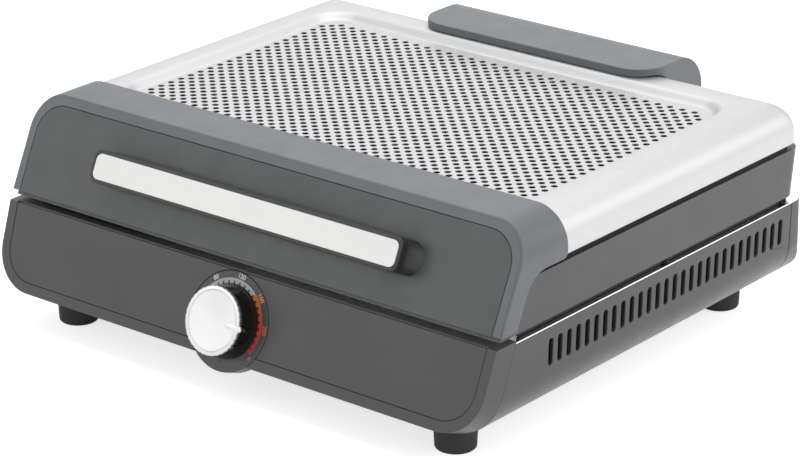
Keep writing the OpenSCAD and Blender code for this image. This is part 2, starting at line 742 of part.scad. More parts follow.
module element_bushings() color("#e6e1d6") place() for (x = [-leg_x, leg_x])
  translate([x, pit_rear_y + pan_t + rest, element_z]) rotate([-90, 0, 0]) difference() {
    cylinder(h = bush_l, r = bush_r, $fn = 48);
    translate([0, 0, -cut]) cylinder(h = bush_l + 2 * cut, r = element_r + run_fit, $fn = 48);
  }

// Upright strip with half-round saddles under the runs and a foot on the well's floor.
module element_bracket(y) color("#a9acae") place() translate([0, y, 0]) {
  along_y(bracket_t) difference() {
    translate([-bracket_x, pit_z]) square([2 * bracket_x, element_z - pit_z]);
    for (x = [-leg_x, -run_pitch / 2, run_pitch / 2, leg_x]) translate([x, element_z])
      circle(element_r + run_fit, $fn = 48);
    translate([0, bulb_z]) circle(bulb_r + rest, $fn = small_fn);
  }
  translate([-bracket_x, -bracket_t / 2, pit_z]) cube([2 * bracket_x, 9, bracket_t]);
}
module element_bracket_front() element_bracket(bracket_front_y);
module element_bracket_rear() element_bracket(bracket_rear_y);

// Control body behind the dial, with the bushing that carries the shaft.
module thermostat_body() color("#d9d4c6") place() on_dial() difference() {
  union() {
    translate([-control_size.x / 2, -control_size.y / 2, -dial_back - rest - control_size.z])
      cube(control_size);
    translate([0, 0, -dial_back - rest - cut]) cylinder(h = dial_back + cut, r = bushing_r, $fn = small_fn);
  }
  translate([0, 0, -shaft_in - rest]) cylinder(h = shaft_in + cut, r = shaft_r + run_fit, $fn = 48);
}

module sensor_bulb() color("#b98a63") place()
  translate([0, pit_front_y - pan_t - 1, bulb_z]) rotate([-90, 0, 0])
    cylinder(h = bulb_l + 2, r = bulb_r, $fn = small_fn);

module capillary_tube() color("#b98a63") place() {
  y1 = control_back_y(bulb_z + tube_r) + seat;
  translate([0, y1, bulb_z]) rotate([-90, 0, 0])
    cylinder(h = pit_front_y - pan_t - 1 - y1, r = tube_r, $fn = small_fn);
}

module terminal_block() color("#ece7da") place()
  translate([-block_size.x / 2, block_y - block_size.y / 2, floor_z]) difference() {
    cube(block_size);
    for (x = [0.2, 0.5, 0.8]) translate([x * block_size.x, block_size.y / 2, block_size.z - 7])
      cylinder(h = 8, r = 3, $fn = small_fn);
  }

module thermal_fuse() color("#cfd2d4") place() translate([fuse_x[0], block_y, lead_z])
  rotate([0, 90, 0]) cylinder(h = fuse_x[1] - fuse_x[0], r = fuse_r, $fn = small_fn);

// Leads from the terminal block to the element's ends; the right one runs through the fuse.
module lead_x(x1, x2) translate([x1, block_y, lead_z]) rotate([0, 90, 0])
  cylinder(h = x2 - x1, r = lead_r, $fn = small_fn);

module lead_riser(x) translate([x, block_y, lead_z]) {
  sphere(lead_r, $fn = small_fn);
  cylinder(h = element_z - element_r - seat - lead_z, r = lead_r, $fn = small_fn);
}

module internal_leads() color("#f2f2ef") place() {
  lead_x(-leg_x, -block_size.x / 2);
  lead_x(block_size.x / 2, fuse_x[0]);
  lead_x(fuse_x[1], leg_x);
  lead_riser(-leg_x);
  lead_riser(leg_x);
}

// ------------------------------------------------------------------ plate and catch

// Cast plate: a web with a raised edge, ribs front to rear and drain slots over the catch.
module grill_plate() color("#2f2f31") place() difference() {
  union() {
    translate([0, well_y, plate_z]) difference() {
      linear_extrude(plate_h) rounded_rect(plate_w, plate_d, plate_r);
      translate([0, 0, plate_web]) linear_extrude(plate_h)
        rounded_rect(plate_w - 2 * plate_edge, plate_d - 2 * plate_edge, plate_r - plate_edge / 2);
    }
    for (i = [-rib_n : rib_n]) translate([i * rib_pitch, (rib_front_y + rib_rear_y) / 2, plate_top_z])
      along_y(rib_rear_y - rib_front_y)
        polygon([[-rib_w / 2, -cut], [rib_w / 2, -cut], [rib_w / 2, 0], [rib_top_w / 2, rib_h],
          [-rib_top_w / 2, rib_h], [-rib_w / 2, 0]]);
  }
  for (i = [0 : drain_n - 1])
    translate([(i - (drain_n - 1) / 2) * drain_pitch, catch_front_y + catch_d / 2, plate_z - cut])
      linear_extrude(plate_web + 2 * cut) slot(drain_l, drain_w);
}

module catch_block(inset, low) translate([0, catch_front_y + catch_d / 2, low])
  linear_extrude(catch_h) rounded_rect(catch_w - 2 * inset, catch_d - 2 * inset, catch_r - inset);

// Narrow open tray on the well's floor, between the element's two legs.
module grease_catch() color("#b4b7b9") place() difference() {
  catch_block(0, pit_z + rest);
  catch_block(catch_t, pit_z + rest + catch_t);
}

// ------------------------------------------------------------------ knob

module control_shaft() color("#c9cccd") place() on_dial()
  translate([0, 0, -shaft_in]) cylinder(h = shaft_in + cap_z, r = shaft_r, $fn = 48);

// Knob body: a flared foot, a hollow drum with a hub, a core for the cap and a pointer tip.
module knob_skirt() color("#1b1c1e") place() on_dial() {
  core_r = knob_r - cap_t - rest;
  rotate_extrude() difference() {
    polygon([[0, knob_gap], [skirt_foot_r, knob_gap], [skirt_foot_r, 2], [knob_r + 0.2, 3.6],
      [knob_r + 0.2, cap_z], [core_r, cap_z], [core_r, knob_h - cap_t - rest], [0, knob_h - cap_t - rest]]);
    translate([hub_r, 0]) square([core_r - 2 - hub_r, cap_z - 2]);
    translate([-cut, 0]) square([shaft_r + run_fit + cut, cap_z + rest]);
  }
  rotate(-pointer_a) translate([0, 0, knob_gap]) linear_extrude(1.4)
    polygon([[-2.2, skirt_foot_r - 1], [2.2, skirt_foot_r - 1], [0, skirt_foot_r + 2]]);
}

// Spun metal cap with fine flutes, a ring groove and a raised pointer.
module knob_cap() color("#dfe1e2") place() on_dial() difference() {
  union() {
    translate([0, 0, cap_z + rest]) cylinder(h = cap_h - rest, r = knob_r);
    rotate(-pointer_a) translate([-0.8, knob_r * 0.35, knob_h - 0.4]) cube([1.6, knob_r * 0.5, 0.4]);
  }
  translate([0, 0, cap_z - cut]) cylinder(h = cap_h + cut - cap_t, r = knob_r - cap_t);
  translate([0, 0, knob_h - 0.5]) linear_extrude(cut) difference() {
    circle(knob_r * 0.76);
    circle(knob_r * 0.73);
  }
  for (i = [0 : flute_n - 1]) rotate(i * 360 / flute_n) translate([knob_r + flute_r * 0.55, 0, cap_z - cut])
    cylinder(h = cap_h + cut - 1, r = flute_r, $fn = 16);
}

// ------------------------------------------------------------------ hinge on the base

// A plate round the hinge axis: a round head, a web through the given points and the pin's bore.
module hinge_plate(width, web) difference() {
  union() {
    translate([0, axis_y, axis_z]) rotate([0, 90, 0]) cylinder(h = width, r = lug_r, center = true, $fn = 64);
    along_x(width) polygon(web);
  }
  translate([0, axis_y, axis_z]) rotate([0, 90, 0])
    cylinder(h = width + 2 * cut, r = pin_r + run_fit, center = true, $fn = 48);
}

// Lug behind the rear cover.
module hinge_lug(side) color("#57595b") place() translate([side * lug_x, 0, 0])
  hinge_plate(lug_w, [[rear_y, lug_low_z], [axis_y, axis_z] + polar(lug_r, -30),
    [axis_y, axis_z] + polar(lug_r, 180), [rear_y, shell_top_z]]);
module hinge_lug_left() hinge_lug(-1);
module hinge_lug_right() hinge_lug(1);

// ------------------------------------------------------------------ lid front cover

// Side view of the front cover: a leaning arm below, the full depth of the top above.
module lid_side_view() {
  low_y = lid_face_at(wrap_low_z) + wrap_y;
  difference() {
    polygon([[lid_face_y, lid_lip_z], [lid_face_y + wrap_y, lid_lip_z], [low_y, wrap_low_z],
      [band_rear_y, wrap_low_z], [band_rear_y, lid_top_z], [lid_top_y, lid_top_z]]);
    round_off([band_rear_y, wrap_low_z], 90, 180, arm_end_r);
  }
  fillet([low_y, wrap_low_z], -90 - lid_lean, 0, side_hollow_r);
}

module lid_panel_outline(gap) translate([0, gap - cut]) arch(lid_panel_w - 2 * gap,
  lid_panel_h + cut - 2 * gap, lid_panel_r - gap);

module handle_screw_places(z) for (x = [-1, 1]) translate([x * handle_screw_x, handle_up, z]) children();

// Front cover of the lid: rounded over the shoulders, hollow behind its front wall.
module lid_bezel() color("#5f6163") place() difference() {
  intersection() {
    along_y(2 * body_d) translate([0, lid_lip_z]) arch(lid_w, lid_top_z - lid_lip_z, lid_r);
    along_x(lid_w + 2 * cut) lid_side_view();
  }
  intersection() {
    along_y(2 * body_d) translate([0, lid_lip_z - cut])
      arch(lid_w - 2 * cover_wall, lid_top_z - cover_top - lid_lip_z + cut, steel_r + seat);
    along_x(lid_w) polygon([[lid_face_at(lid_lip_z - cut) + lid_wall_y, lid_lip_z - cut],
      [lid_face_at(lid_top_z) + lid_wall_y, lid_top_z], [rear_y, lid_top_z], [rear_y, lid_lip_z - cut]]);
  }
  on_lid_face() {
    translate([0, 0, -panel_t]) linear_extrude(panel_t + cut) lid_panel_outline(0);
    handle_screw_places(-front_wall - cut)
      cylinder(h = front_wall + 2 * cut, r = screw_r + rest, $fn = small_fn);
  }
}

// Inset front panel of the lid, open at the lip.
module lid_front_panel() color("#47484a") place() on_lid_face() difference() {
  translate([0, 0, -panel_t]) linear_extrude(panel_t) intersection() {
    lid_panel_outline(panel_gap);
    translate([-lid_w, panel_gap]) square([2 * lid_w, lid_face_h]);
  }
  handle_screw_places(-panel_t - cut) cylinder(h = panel_t + 2 * cut, r = screw_r + rest, $fn = small_fn);
}

// ------------------------------------------------------------------ lid skirt, seal and steel

// The skirt's body: its rear leans on the hinge side and its front follows the lid's face.
module skirt_prism(inset, high) {
  front = lid_wall_y + seat + inset / cos(lid_lean);
  low = skirt_z - skirt_h;
  intersection() {
    below(high);
    along_x(lid_w) polygon([[lid_face_at(low) + front, low], [body_d, low], [body_d, lid_top_z],
      [lid_face_at(lid_top_z) + front, lid_top_z]]);
    translate([0, skirt_rear_y, skirt_top_z]) rotate([-skirt_lean, 0, 0])
      translate([0, -body_d / 2, -3 * skirt_h]) linear_extrude(4 * skirt_h)
        rounded_rect(skirt_w - 2 * inset, body_d - 2 * inset, skirt_r - inset);
  }
}

// Leaning ring with an inward flange along its top, which carries the seal.
module lid_skirt() color("#6d6e70") place() difference() {
  skirt_prism(0, skirt_top_z);
  skirt_prism(wall, skirt_top_z - wall);
  translate([0, steel_y, skirt_z]) linear_extrude(lid_top_z)
    rounded_rect(steel_w - 2 * skirt_flange, steel_d - 2 * skirt_flange, steel_r - skirt_flange);
  below(skirt_z);
  on_skirt_rear() for (x = [-1, 1], drop = arm_screw_drops)
    translate([x * (arm_x + arm_w / 2), -wall - cut, -drop]) rotate([-90, 0, 0])
      cylinder(h = wall + 2 * cut, r = screw_r + rest, $fn = small_fn);
  on_lid_face() handle_screw_places(-front_wall - 2 * wall)
    cylinder(h = 2 * wall, r = screw_head_r + seat, $fn = small_fn);
}

module lid_seal() color("#2b2b2b") place() translate([0, steel_y, skirt_top_z])
  linear_extrude(seal_h) difference() {
    rounded_rect(steel_w - 2 * seal_in, steel_d - 2 * seal_in, steel_r - seal_in);
    rounded_rect(steel_w - 2 * steel_lip, steel_d - 2 * steel_lip, steel_r - steel_lip);
  }

// Section of the steel cover's edge, outward from the corner centres: a flange turned in along
// the seal, the side wall and the pressed shoulder.
module steel_edge() {
  translate([steel_r - steel_lip, steel_low_z]) square([steel_lip, steel_t]);
  translate([steel_r - steel_t, steel_low_z]) square([steel_t, steel_mid_z - steel_low_z]);
  translate([steel_r - shoulder_r, steel_mid_z]) intersection() {
    square(shoulder_r);
    difference() {
      circle(shoulder_r);
      circle(shoulder_r - steel_t);
    }
  }
}

// Section of the sloping step round the sunken field.
module step_edge() polygon([[field_r, steel_top_z], [field_r, steel_top_z - 1.3 * steel_t],
  [field_r - step_w, mesh_top_z - steel_t], [field_r - step_w, mesh_top_z]]);

// Pressed steel cover: rounded shoulder, flat border and sloping step down to the mesh.
module lid_steel_cover() color("#d9d9d9") place() {
  translate([0, steel_y, 0]) ring_sweep(steel_w, steel_d, steel_r) steel_edge();
  translate([0, 0, steel_top_z - steel_t]) linear_extrude(steel_t) difference() {
    translate([0, steel_y])
      rounded_rect(steel_w - 2 * shoulder_r, steel_d - 2 * shoulder_r, steel_r - shoulder_r);
    translate([0, field_y]) rounded_rect(field_w, field_d, field_r);
  }
  translate([0, field_y, 0]) ring_sweep(field_w, field_d, field_r) step_edge();
}

// Perforated field: holes at the corners and centres of a square grid.
module lid_mesh() color("#d2d2d2") place() translate([0, field_y, mesh_top_z - steel_t])
  linear_extrude(steel_t) difference() {
    rounded_rect(mesh_w, mesh_d, field_r - step_w);
    for (i = [-hole_cols : hole_cols], j = [-hole_rows : hole_rows])
      if ((i + j) % 2 != 0 && abs(i) + abs(j) < hole_cols + hole_rows)
        translate([i, j] * hole_pitch / 2) circle(d = hole_d, $fn = 16);
  }

// Soft pads under the skirt that stand off the rim.
module lid_bumpers() color("#262626") place()
  for (x = [-bumper_x, bumper_x], y = [bumper_mid_y, bumper_rear_y])
    translate([x, y, rim_z + seat]) cylinder(h = skirt_lift - seat, r = bumper_r, $fn = small_fn);

// ------------------------------------------------------------------ handle

// One end post's foot, flared outward over the lid's face.
module post_flare_foot(side) {
  foot_l = handle_l + 2 * post_flare;
  high = handle_out - post_edge;
  intersection() {
    translate([0, handle_up, 0]) linear_extrude(high) rounded_rect(foot_l, handle_h, handle_h * 0.42);
    translate([0, handle_up, 0]) along_y(2 * handle_h) polygon([[side * (handle_l / 2 - post_w), 0],
      [side * foot_l / 2, 0], [side * handle_l / 2, high], [side * (handle_l / 2 - post_w), high]]);
  }
}

// Handle bar on two flared posts, with a shallow recess for its metal plate.
module handle_bar() color("#3a3b3d") place() on_lid_face() difference() {
  union() {
    difference() {
      translate([0, handle_up, 0]) linear_extrude(handle_out) rounded_rect(handle_l, handle_h, handle_r);
      translate([-handle_l / 2 + post_w, handle_up - handle_h, -cut])
        cube([handle_l - 2 * post_w, 2 * handle_h, handle_out - handle_t + cut]);
    }
    post_flare_foot(-1);
    post_flare_foot(1);
  }
  translate([0, handle_up, handle_out - plate_t]) linear_extrude(plate_t + cut)
    rounded_rect(handle_plate_l + 0.2, handle_plate_h + 0.2, handle_plate_r + rest);
  handle_screw_places(-cut) cylinder(h = handle_screw_in + cut, r = screw_r + rest, $fn = small_fn);
}

module handle_plate() color("#dadbdc") place() on_lid_face() translate([0, handle_up, handle_out - plate_t])
  linear_extrude(plate_t) rounded_rect(handle_plate_l, handle_plate_h, handle_plate_r);

module handle_screws() color("#b9bcbe") place() on_lid_face() handle_screw_places(-front_wall)
  screw(front_wall + handle_screw_in - 1);

// ------------------------------------------------------------------ hinge on the lid

// Side view of the hinge cover with its rounded rear edge.
module hinge_cover_view(inset, low) difference() {
  polygon([[hinge_front_y + inset, low], [hinge_front_y + inset, hinge_top_z - inset],
    [hinge_rear_y - inset, hinge_top_z - inset], [hinge_rear_y - inset, low]]);
  round_off([hinge_rear_y - inset, hinge_top_z - inset], 180, 270, hinge_cover_r - inset);
}

module hinge_cover_block(inset, low) intersection() {
  along_x(2 * (hinge_cover_x - inset)) hinge_cover_view(inset, low);
  translate([0, hinge_rear_y + cut, 0]) rotate(180) linear_extrude(2 * hinge_top_z)
    arch(2 * (hinge_cover_x - inset), hinge_rear_y + cut - hinge_front_y - inset, hinge_corner_r - inset);
}

// The lid's rear, which the hinge cover clears: the steel's shoulder and the skirt's wall.
module lid_rear_view() {
  polygon([[0, 0], [steel_rear_y + seat, 0], [steel_rear_y + seat, steel_mid_z],
    [steel_rear_y - steel_r, steel_top_z + seat], [0, steel_top_z + seat]]);
  translate([steel_rear_y - steel_r, steel_mid_z]) circle(steel_r + seat);
  square([skirt_rear_y + seat, skirt_top_z + seat]);
}

// Moulded cover over the hinge: it laps the steel border and curves down behind the lid.
module hinge_cover() color("#8a8f92") place() difference() {
  hinge_cover_block(0, hinge_low_z);
  hinge_cover_block(hinge_t, hinge_low_z - cut);
  along_x(3 * hinge_cover_x) lid_rear_view();
}

// Arm from the skirt's rear wall to the hinge pin.
module hinge_arm(side) color("#8d9092") place() difference() {
  translate([side * (arm_x + arm_w / 2), 0, 0])
    hinge_plate(arm_w, [[skirt_wall_y(skirt_top_z - arm_low), skirt_top_z - arm_low],
      [skirt_wall_y(skirt_top_z - arm_high), skirt_top_z - arm_high],
      [axis_y, axis_z] + polar(lug_r, 40), [axis_y, axis_z] + polar(lug_r, -110)]);
  on_skirt_rear() for (drop = arm_screw_drops) translate([side * (arm_x + arm_w / 2), -cut, -drop])
    rotate([-90, 0, 0]) cylinder(h = arm_screw_l + cut, r = screw_r + rest, $fn = small_fn);
}
module hinge_arm_left() hinge_arm(-1);
module hinge_arm_right() hinge_arm(1);

module hinge_arm_screws() color("#b9bcbe") place() on_skirt_rear() for (x = [-1, 1], drop = arm_screw_drops)
  translate([x * (arm_x + arm_w / 2), -wall, -drop]) rotate([-90, 0, 0]) screw(wall + arm_screw_l - 1);

// Pin held by the arm and turning in the lug, with its head on the arm's inner side.
module hinge_pin(side) color("#c4c7c9") place() translate([side * arm_x, axis_y, axis_z])
  rotate([0, side * 90, 0]) {
    cylinder(h = arm_w + arm_gap + lug_w, r = pin_r, $fn = 48);
    translate([0, 0, -pin_head_t]) cylinder(h = pin_head_t, r = pin_head_r, $fn = 48);
  }
module hinge_pin_left() hinge_pin(-1);
module hinge_pin_right() hinge_pin(1);

base_shell();
base_rear_cover();
base_bezel();
base_front_panel();
dial_plate();
foot_front_left();
foot_front_right();
foot_rear_left();
foot_rear_right();
foot_screws();
rear_cover_screws();
cord_gland();
cooking_well();
heat_shield();
heating_element();
element_bushings();
element_bracket_front();
element_bracket_rear();
thermostat_body();
sensor_bulb();
capillary_tube();
terminal_block();
thermal_fuse();
internal_leads();
hinge_lug_left();
hinge_lug_right();
grill_plate();
grease_catch();
control_shaft();
knob_skirt();
knob_cap();
lid_bezel();
lid_front_panel();
lid_skirt();
lid_seal();
lid_steel_cover();
lid_mesh();
lid_bumpers();
handle_bar();
handle_plate();
handle_screws();
hinge_cover();
hinge_arm_left();
hinge_arm_right();
hinge_arm_screws();
hinge_pin_left();
hinge_pin_right();
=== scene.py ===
import json
import math

import bmesh
import bpy
import numpy as np
from mathutils import Matrix, Vector
from mathutils.geometry import delaunay_2d_cdt


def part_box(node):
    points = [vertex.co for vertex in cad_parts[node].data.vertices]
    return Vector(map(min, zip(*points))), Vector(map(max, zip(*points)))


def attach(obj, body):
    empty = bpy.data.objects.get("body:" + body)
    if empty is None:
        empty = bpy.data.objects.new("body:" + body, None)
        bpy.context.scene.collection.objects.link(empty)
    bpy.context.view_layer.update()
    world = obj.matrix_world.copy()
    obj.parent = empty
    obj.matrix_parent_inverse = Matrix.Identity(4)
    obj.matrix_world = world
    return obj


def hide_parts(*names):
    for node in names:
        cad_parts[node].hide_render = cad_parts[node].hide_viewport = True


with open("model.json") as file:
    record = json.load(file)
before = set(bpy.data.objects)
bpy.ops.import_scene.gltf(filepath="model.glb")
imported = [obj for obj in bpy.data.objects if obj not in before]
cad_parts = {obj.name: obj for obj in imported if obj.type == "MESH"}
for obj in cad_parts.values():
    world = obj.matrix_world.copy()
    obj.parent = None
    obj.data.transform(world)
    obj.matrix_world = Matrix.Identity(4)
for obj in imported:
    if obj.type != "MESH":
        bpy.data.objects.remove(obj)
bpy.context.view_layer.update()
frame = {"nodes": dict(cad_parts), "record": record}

mm = 0.001
deg = math.pi / 180


# ------------------------------------------------------------------ camera, floor and light

def look_at(eye, right, up):
    """A camera's matrix from its place and its right and up directions."""
    x = Vector(right).normalized()
    z = x.cross(Vector(up)).normalized()
    y = z.cross(x)
    turn = Matrix((x, y, z)).transposed().to_4x4()
    return Matrix.Translation(eye) @ turn


def build_camera():
    """A long lens in front of the right front corner, a little above the lid."""
    eye = (1.2096, -1.4738, 0.8001)
    right = (0.7735, 0.6338, -0.0071)
    up = (-0.2254, 0.2855, 0.9315)
    data = bpy.data.cameras.new("camera")
    data.sensor_width = 36
    data.lens = 145.07
    data.clip_start = 0.05
    camera = bpy.data.objects.new("camera", data)
    bpy.context.scene.collection.objects.link(camera)
    camera.matrix_world = look_at(eye, right, up)
    bpy.context.scene.camera = camera


def add(tree, kind, sockets=None, **settings):
    """Adds one node. Settings are its properties, and sockets give its inputs a number, a colour or
    another node's output to be linked from."""
    node = tree.nodes.new(kind)
    for name, value in settings.items():
        setattr(node, name, value)
    for name, value in (sockets or {}).items():
        if isinstance(value, bpy.types.NodeSocket):
            tree.links.new(value, node.inputs[name])
        else:
            node.inputs[name].default_value = value
    return node


def srgb(code):
    """Turns an sRGB hex code into a linear, opaque colour."""
    parts = np.array([int(code[i:i + 2], 16) for i in (1, 3, 5)]) / 255
    linear = np.where(parts <= 0.04045, parts / 12.92, ((parts + 0.055) / 1.055) ** 2.4)
    return (*linear.tolist(), 1.0)


def seen_directly(tree):
    """1 where the camera, a gloss or glass looks, and 0 where only light for matt surfaces is asked."""
    path = add(tree, "ShaderNodeLightPath").outputs
    gloss = add(tree, "ShaderNodeMath", {0: path["Is Camera Ray"], 1: path["Is Glossy Ray"]},
                operation="MAXIMUM")
    return add(tree, "ShaderNodeMath", {0: gloss.outputs[0], 1: path["Is Transmission Ray"]},
               operation="MAXIMUM").outputs[0]


def build_world():
    """An even white studio: full white where the camera, a gloss or glass sees it, and a soft grey
    fill for everything else."""
    fill = 0.42
    world = bpy.data.worlds.new("studio")
    bpy.context.scene.world = world
    world.use_nodes = True
    tree = world.node_tree
    tree.nodes.clear()
    strength = add(tree, "ShaderNodeMapRange", {"Value": seen_directly(tree), "To Min": fill,
                                                "To Max": 1.0})
    background = add(tree, "ShaderNodeBackground", {"Color": srgb("#ffffff"),
                                                    "Strength": strength.outputs["Result"]})
    add(tree, "ShaderNodeOutputWorld", {"Surface": background.outputs[0]})


def softbox(name, place, target, size, power):
    """A large rectangular lamp that faces its target. Its size is in metres, its power in watts."""
    data = bpy.data.lights.new(name, "AREA")
    data.shape = "RECTANGLE"
    data.size, data.size_y = size
    data.energy = power
    lamp = bpy.data.objects.new(name, data)
    bpy.context.scene.collection.objects.link(lamp)
    lamp.location = place
    lamp.rotation_euler = (Vector(target) - Vector(place)).to_track_quat("-Z", "Y").to_euler()


def build_studio():
    """Five softboxes in a white room: overhead, two behind, and one on each side."""
    build_world()
    softbox("overhead_softbox", (0.0, 0.35, 1.7), (0, 0, 0.1), (2.6, 2.2), 19)
    softbox("rear_softbox", (-1.3, 1.7, 1.05), (0, 0, 0.1), (1.6, 1.0), 2)
    softbox("rear_right_softbox", (1.25, 1.45, 0.8), (0, 0, 0.1), (0.8, 0.8), 3)
    softbox("right_softbox", (1.9, 0.1, 0.9), (0, 0, 0.08), (2.2, 1.5), 11)
    softbox("left_softbox", (-1.2, -1.7, 0.9), (0, 0, 0.08), (1.2, 1.0), 6)
    build_floor()


def build_floor():
    """A white sweep under the grill. It is lifted towards white only where the camera, a gloss or glass
    sees it, so that it keeps the grill's shadow and gives no extra light."""
    side, lift = 8.0, 0.7
    mesh = bpy.data.meshes.new("floor")
    mesh.from_pydata([(-side, -side, 0), (side, -side, 0), (side, side, 0), (-side, side, 0)], [],
                     [(0, 1, 2, 3)])
    floor = bpy.data.objects.new("floor", mesh)
    bpy.context.scene.collection.objects.link(floor)
    paper, tree, shader = new_material("matt_white_paper", Base_Color=srgb("#f4f4f4"), Roughness=0.9,
                                       Specular_IOR_Level=0.1, Emission_Color=srgb("#ffffff"))[:3]
    glow = add(tree, "ShaderNodeMath", {0: seen_directly(tree), 1: lift}, operation="MULTIPLY")
    tree.links.new(glow.outputs[0], shader.inputs["Emission Strength"])
    mesh.materials.append(paper)


# ------------------------------------------------------------------ materials

def new_material(name, **constants):
    """A material with only its Principled shader, whose plain numbers are set on its own sockets.
    Returns the material, its node tree, the shader and the object coordinates' output."""
    material = bpy.data.materials.new(name)
    material.use_nodes = True
    tree = material.node_tree
    tree.nodes.clear()
    shader = add(tree, "ShaderNodeBsdfPrincipled")
    for socket, value in constants.items():
        shader.inputs[socket.replace("_", " ")].default_value = value
    add(tree, "ShaderNodeOutputMaterial", {"Surface": shader.outputs[0]})
    place = add(tree, "ShaderNodeTexCoord").outputs["Object"]
    return material, tree, shader, place


def patterned(name, dark, light, patches, gloss=None, roughness=None, skin=None, depth=0.0, **constants):
    """A material that follows up to three noises, each given by how wide its features are, its detail
    and how many times longer they are along x. The first carries the colour from dark to light, two hex
    codes, the second the roughness through its range, and the third raises a relief of that depth."""
    material, tree, shader, place = new_material(name, **constants)
    most = {"From Min": 0.3, "From Max": 0.7}       # where most of a noise's values lie
    noises = {}
    for noise in filter(None, (patches, gloss, skin)):
        if noise not in noises:
            size, detail, length = noise
            mapping = add(tree, "ShaderNodeMapping", {
                "Vector": place, "Scale": (1 / (size * length), 1 / size, 1 / size)})
            noises[noise] = add(tree, "ShaderNodeTexNoise", {
                "Vector": mapping.outputs[0], "Scale": 1.0, "Detail": detail,
                "Roughness": 0.55}).outputs["Fac"]
    share = add(tree, "ShaderNodeMapRange", {"Value": noises[patches], "To Min": 0, "To Max": 1, **most})
    colour = add(tree, "ShaderNodeMix", {0: share.outputs["Result"], 6: srgb(dark), 7: srgb(light)},
                 data_type="RGBA")
    tree.links.new(colour.outputs[2], shader.inputs["Base Color"])
    if gloss:
        rough = add(tree, "ShaderNodeMapRange", {"Value": noises[gloss], "To Min": roughness[0],
                                                 "To Max": roughness[1], **most})
        tree.links.new(rough.outputs["Result"], shader.inputs["Roughness"])
    if skin:
        bump = add(tree, "ShaderNodeBump", {"Height": noises[skin], "Distance": depth, "Strength": 1.0})
        tree.links.new(bump.outputs["Normal"], shader.inputs["Normal"])
    return material


def moulded_plastic(name, dark, light, roughness, grain=0.5 * mm, depth=0.012 * mm):
    """Injection-moulded plastic with a spark-eroded mould grain: an even satin skin whose fine grain
    breaks up reflections, with slow cloudiness where the melt flowed. The grain is drawn coarser than
    the mould leaves it, so that it shows."""
    return patterned(name, dark, light, (60 * mm, 3, 1), (18 * mm, 4, 1),
                     (roughness - 0.04, roughness + 0.04), (grain, 2, 1), depth, IOR=1.5)


def brushed_steel(name, dark, light, roughness, grain=0.35 * mm):
    """Stainless steel or aluminium brushed along x with a belt: long hairlines of slightly lighter and
    darker metal, which stretch each highlight across the grain. They are drawn coarser than the belt's
    grit leaves them, so that they show."""
    hairlines = (grain, 3, 90)
    return patterned(name, dark, light, hairlines, hairlines, (roughness - 0.05, roughness + 0.07),
                     hairlines, 0.006 * mm, Metallic=1.0)


def plain_metal(name, dark, light, roughness, grain=1.2 * mm, depth=0.01 * mm, patch=25 * mm):
    """Rolled, plated or cast metal: even, with faint cloudy patches and a fine uneven skin."""
    cloud = (patch, 4, 1)
    return patterned(name, dark, light, cloud, cloud, (roughness - 0.04, roughness + 0.05),
                     (grain, 2, 1), depth, Metallic=1.0)


def soft_rubber(name, dark, light):
    """Moulded silicone or thermoplastic rubber: matt and dusty, with hardly any reflection."""
    dust = (6 * mm, 5, 1)
    return patterned(name, dark, light, dust, dust, (0.7, 0.83), (0.8 * mm, 2, 1), 0.02 * mm,
                     IOR=1.45, Specular_IOR_Level=0.3)


def printed_ink(name, code):
    """Pad-printed ink: a thin, even, slightly glossy film of one opaque colour, with the faint mottle
    that the pad leaves."""
    dark = "#" + "".join(f"{int(int(code[i:i + 2], 16) * 0.93):02x}" for i in (1, 3, 5))
    return patterned(name, dark, code, (0.6 * mm, 2, 1), Roughness=0.4)


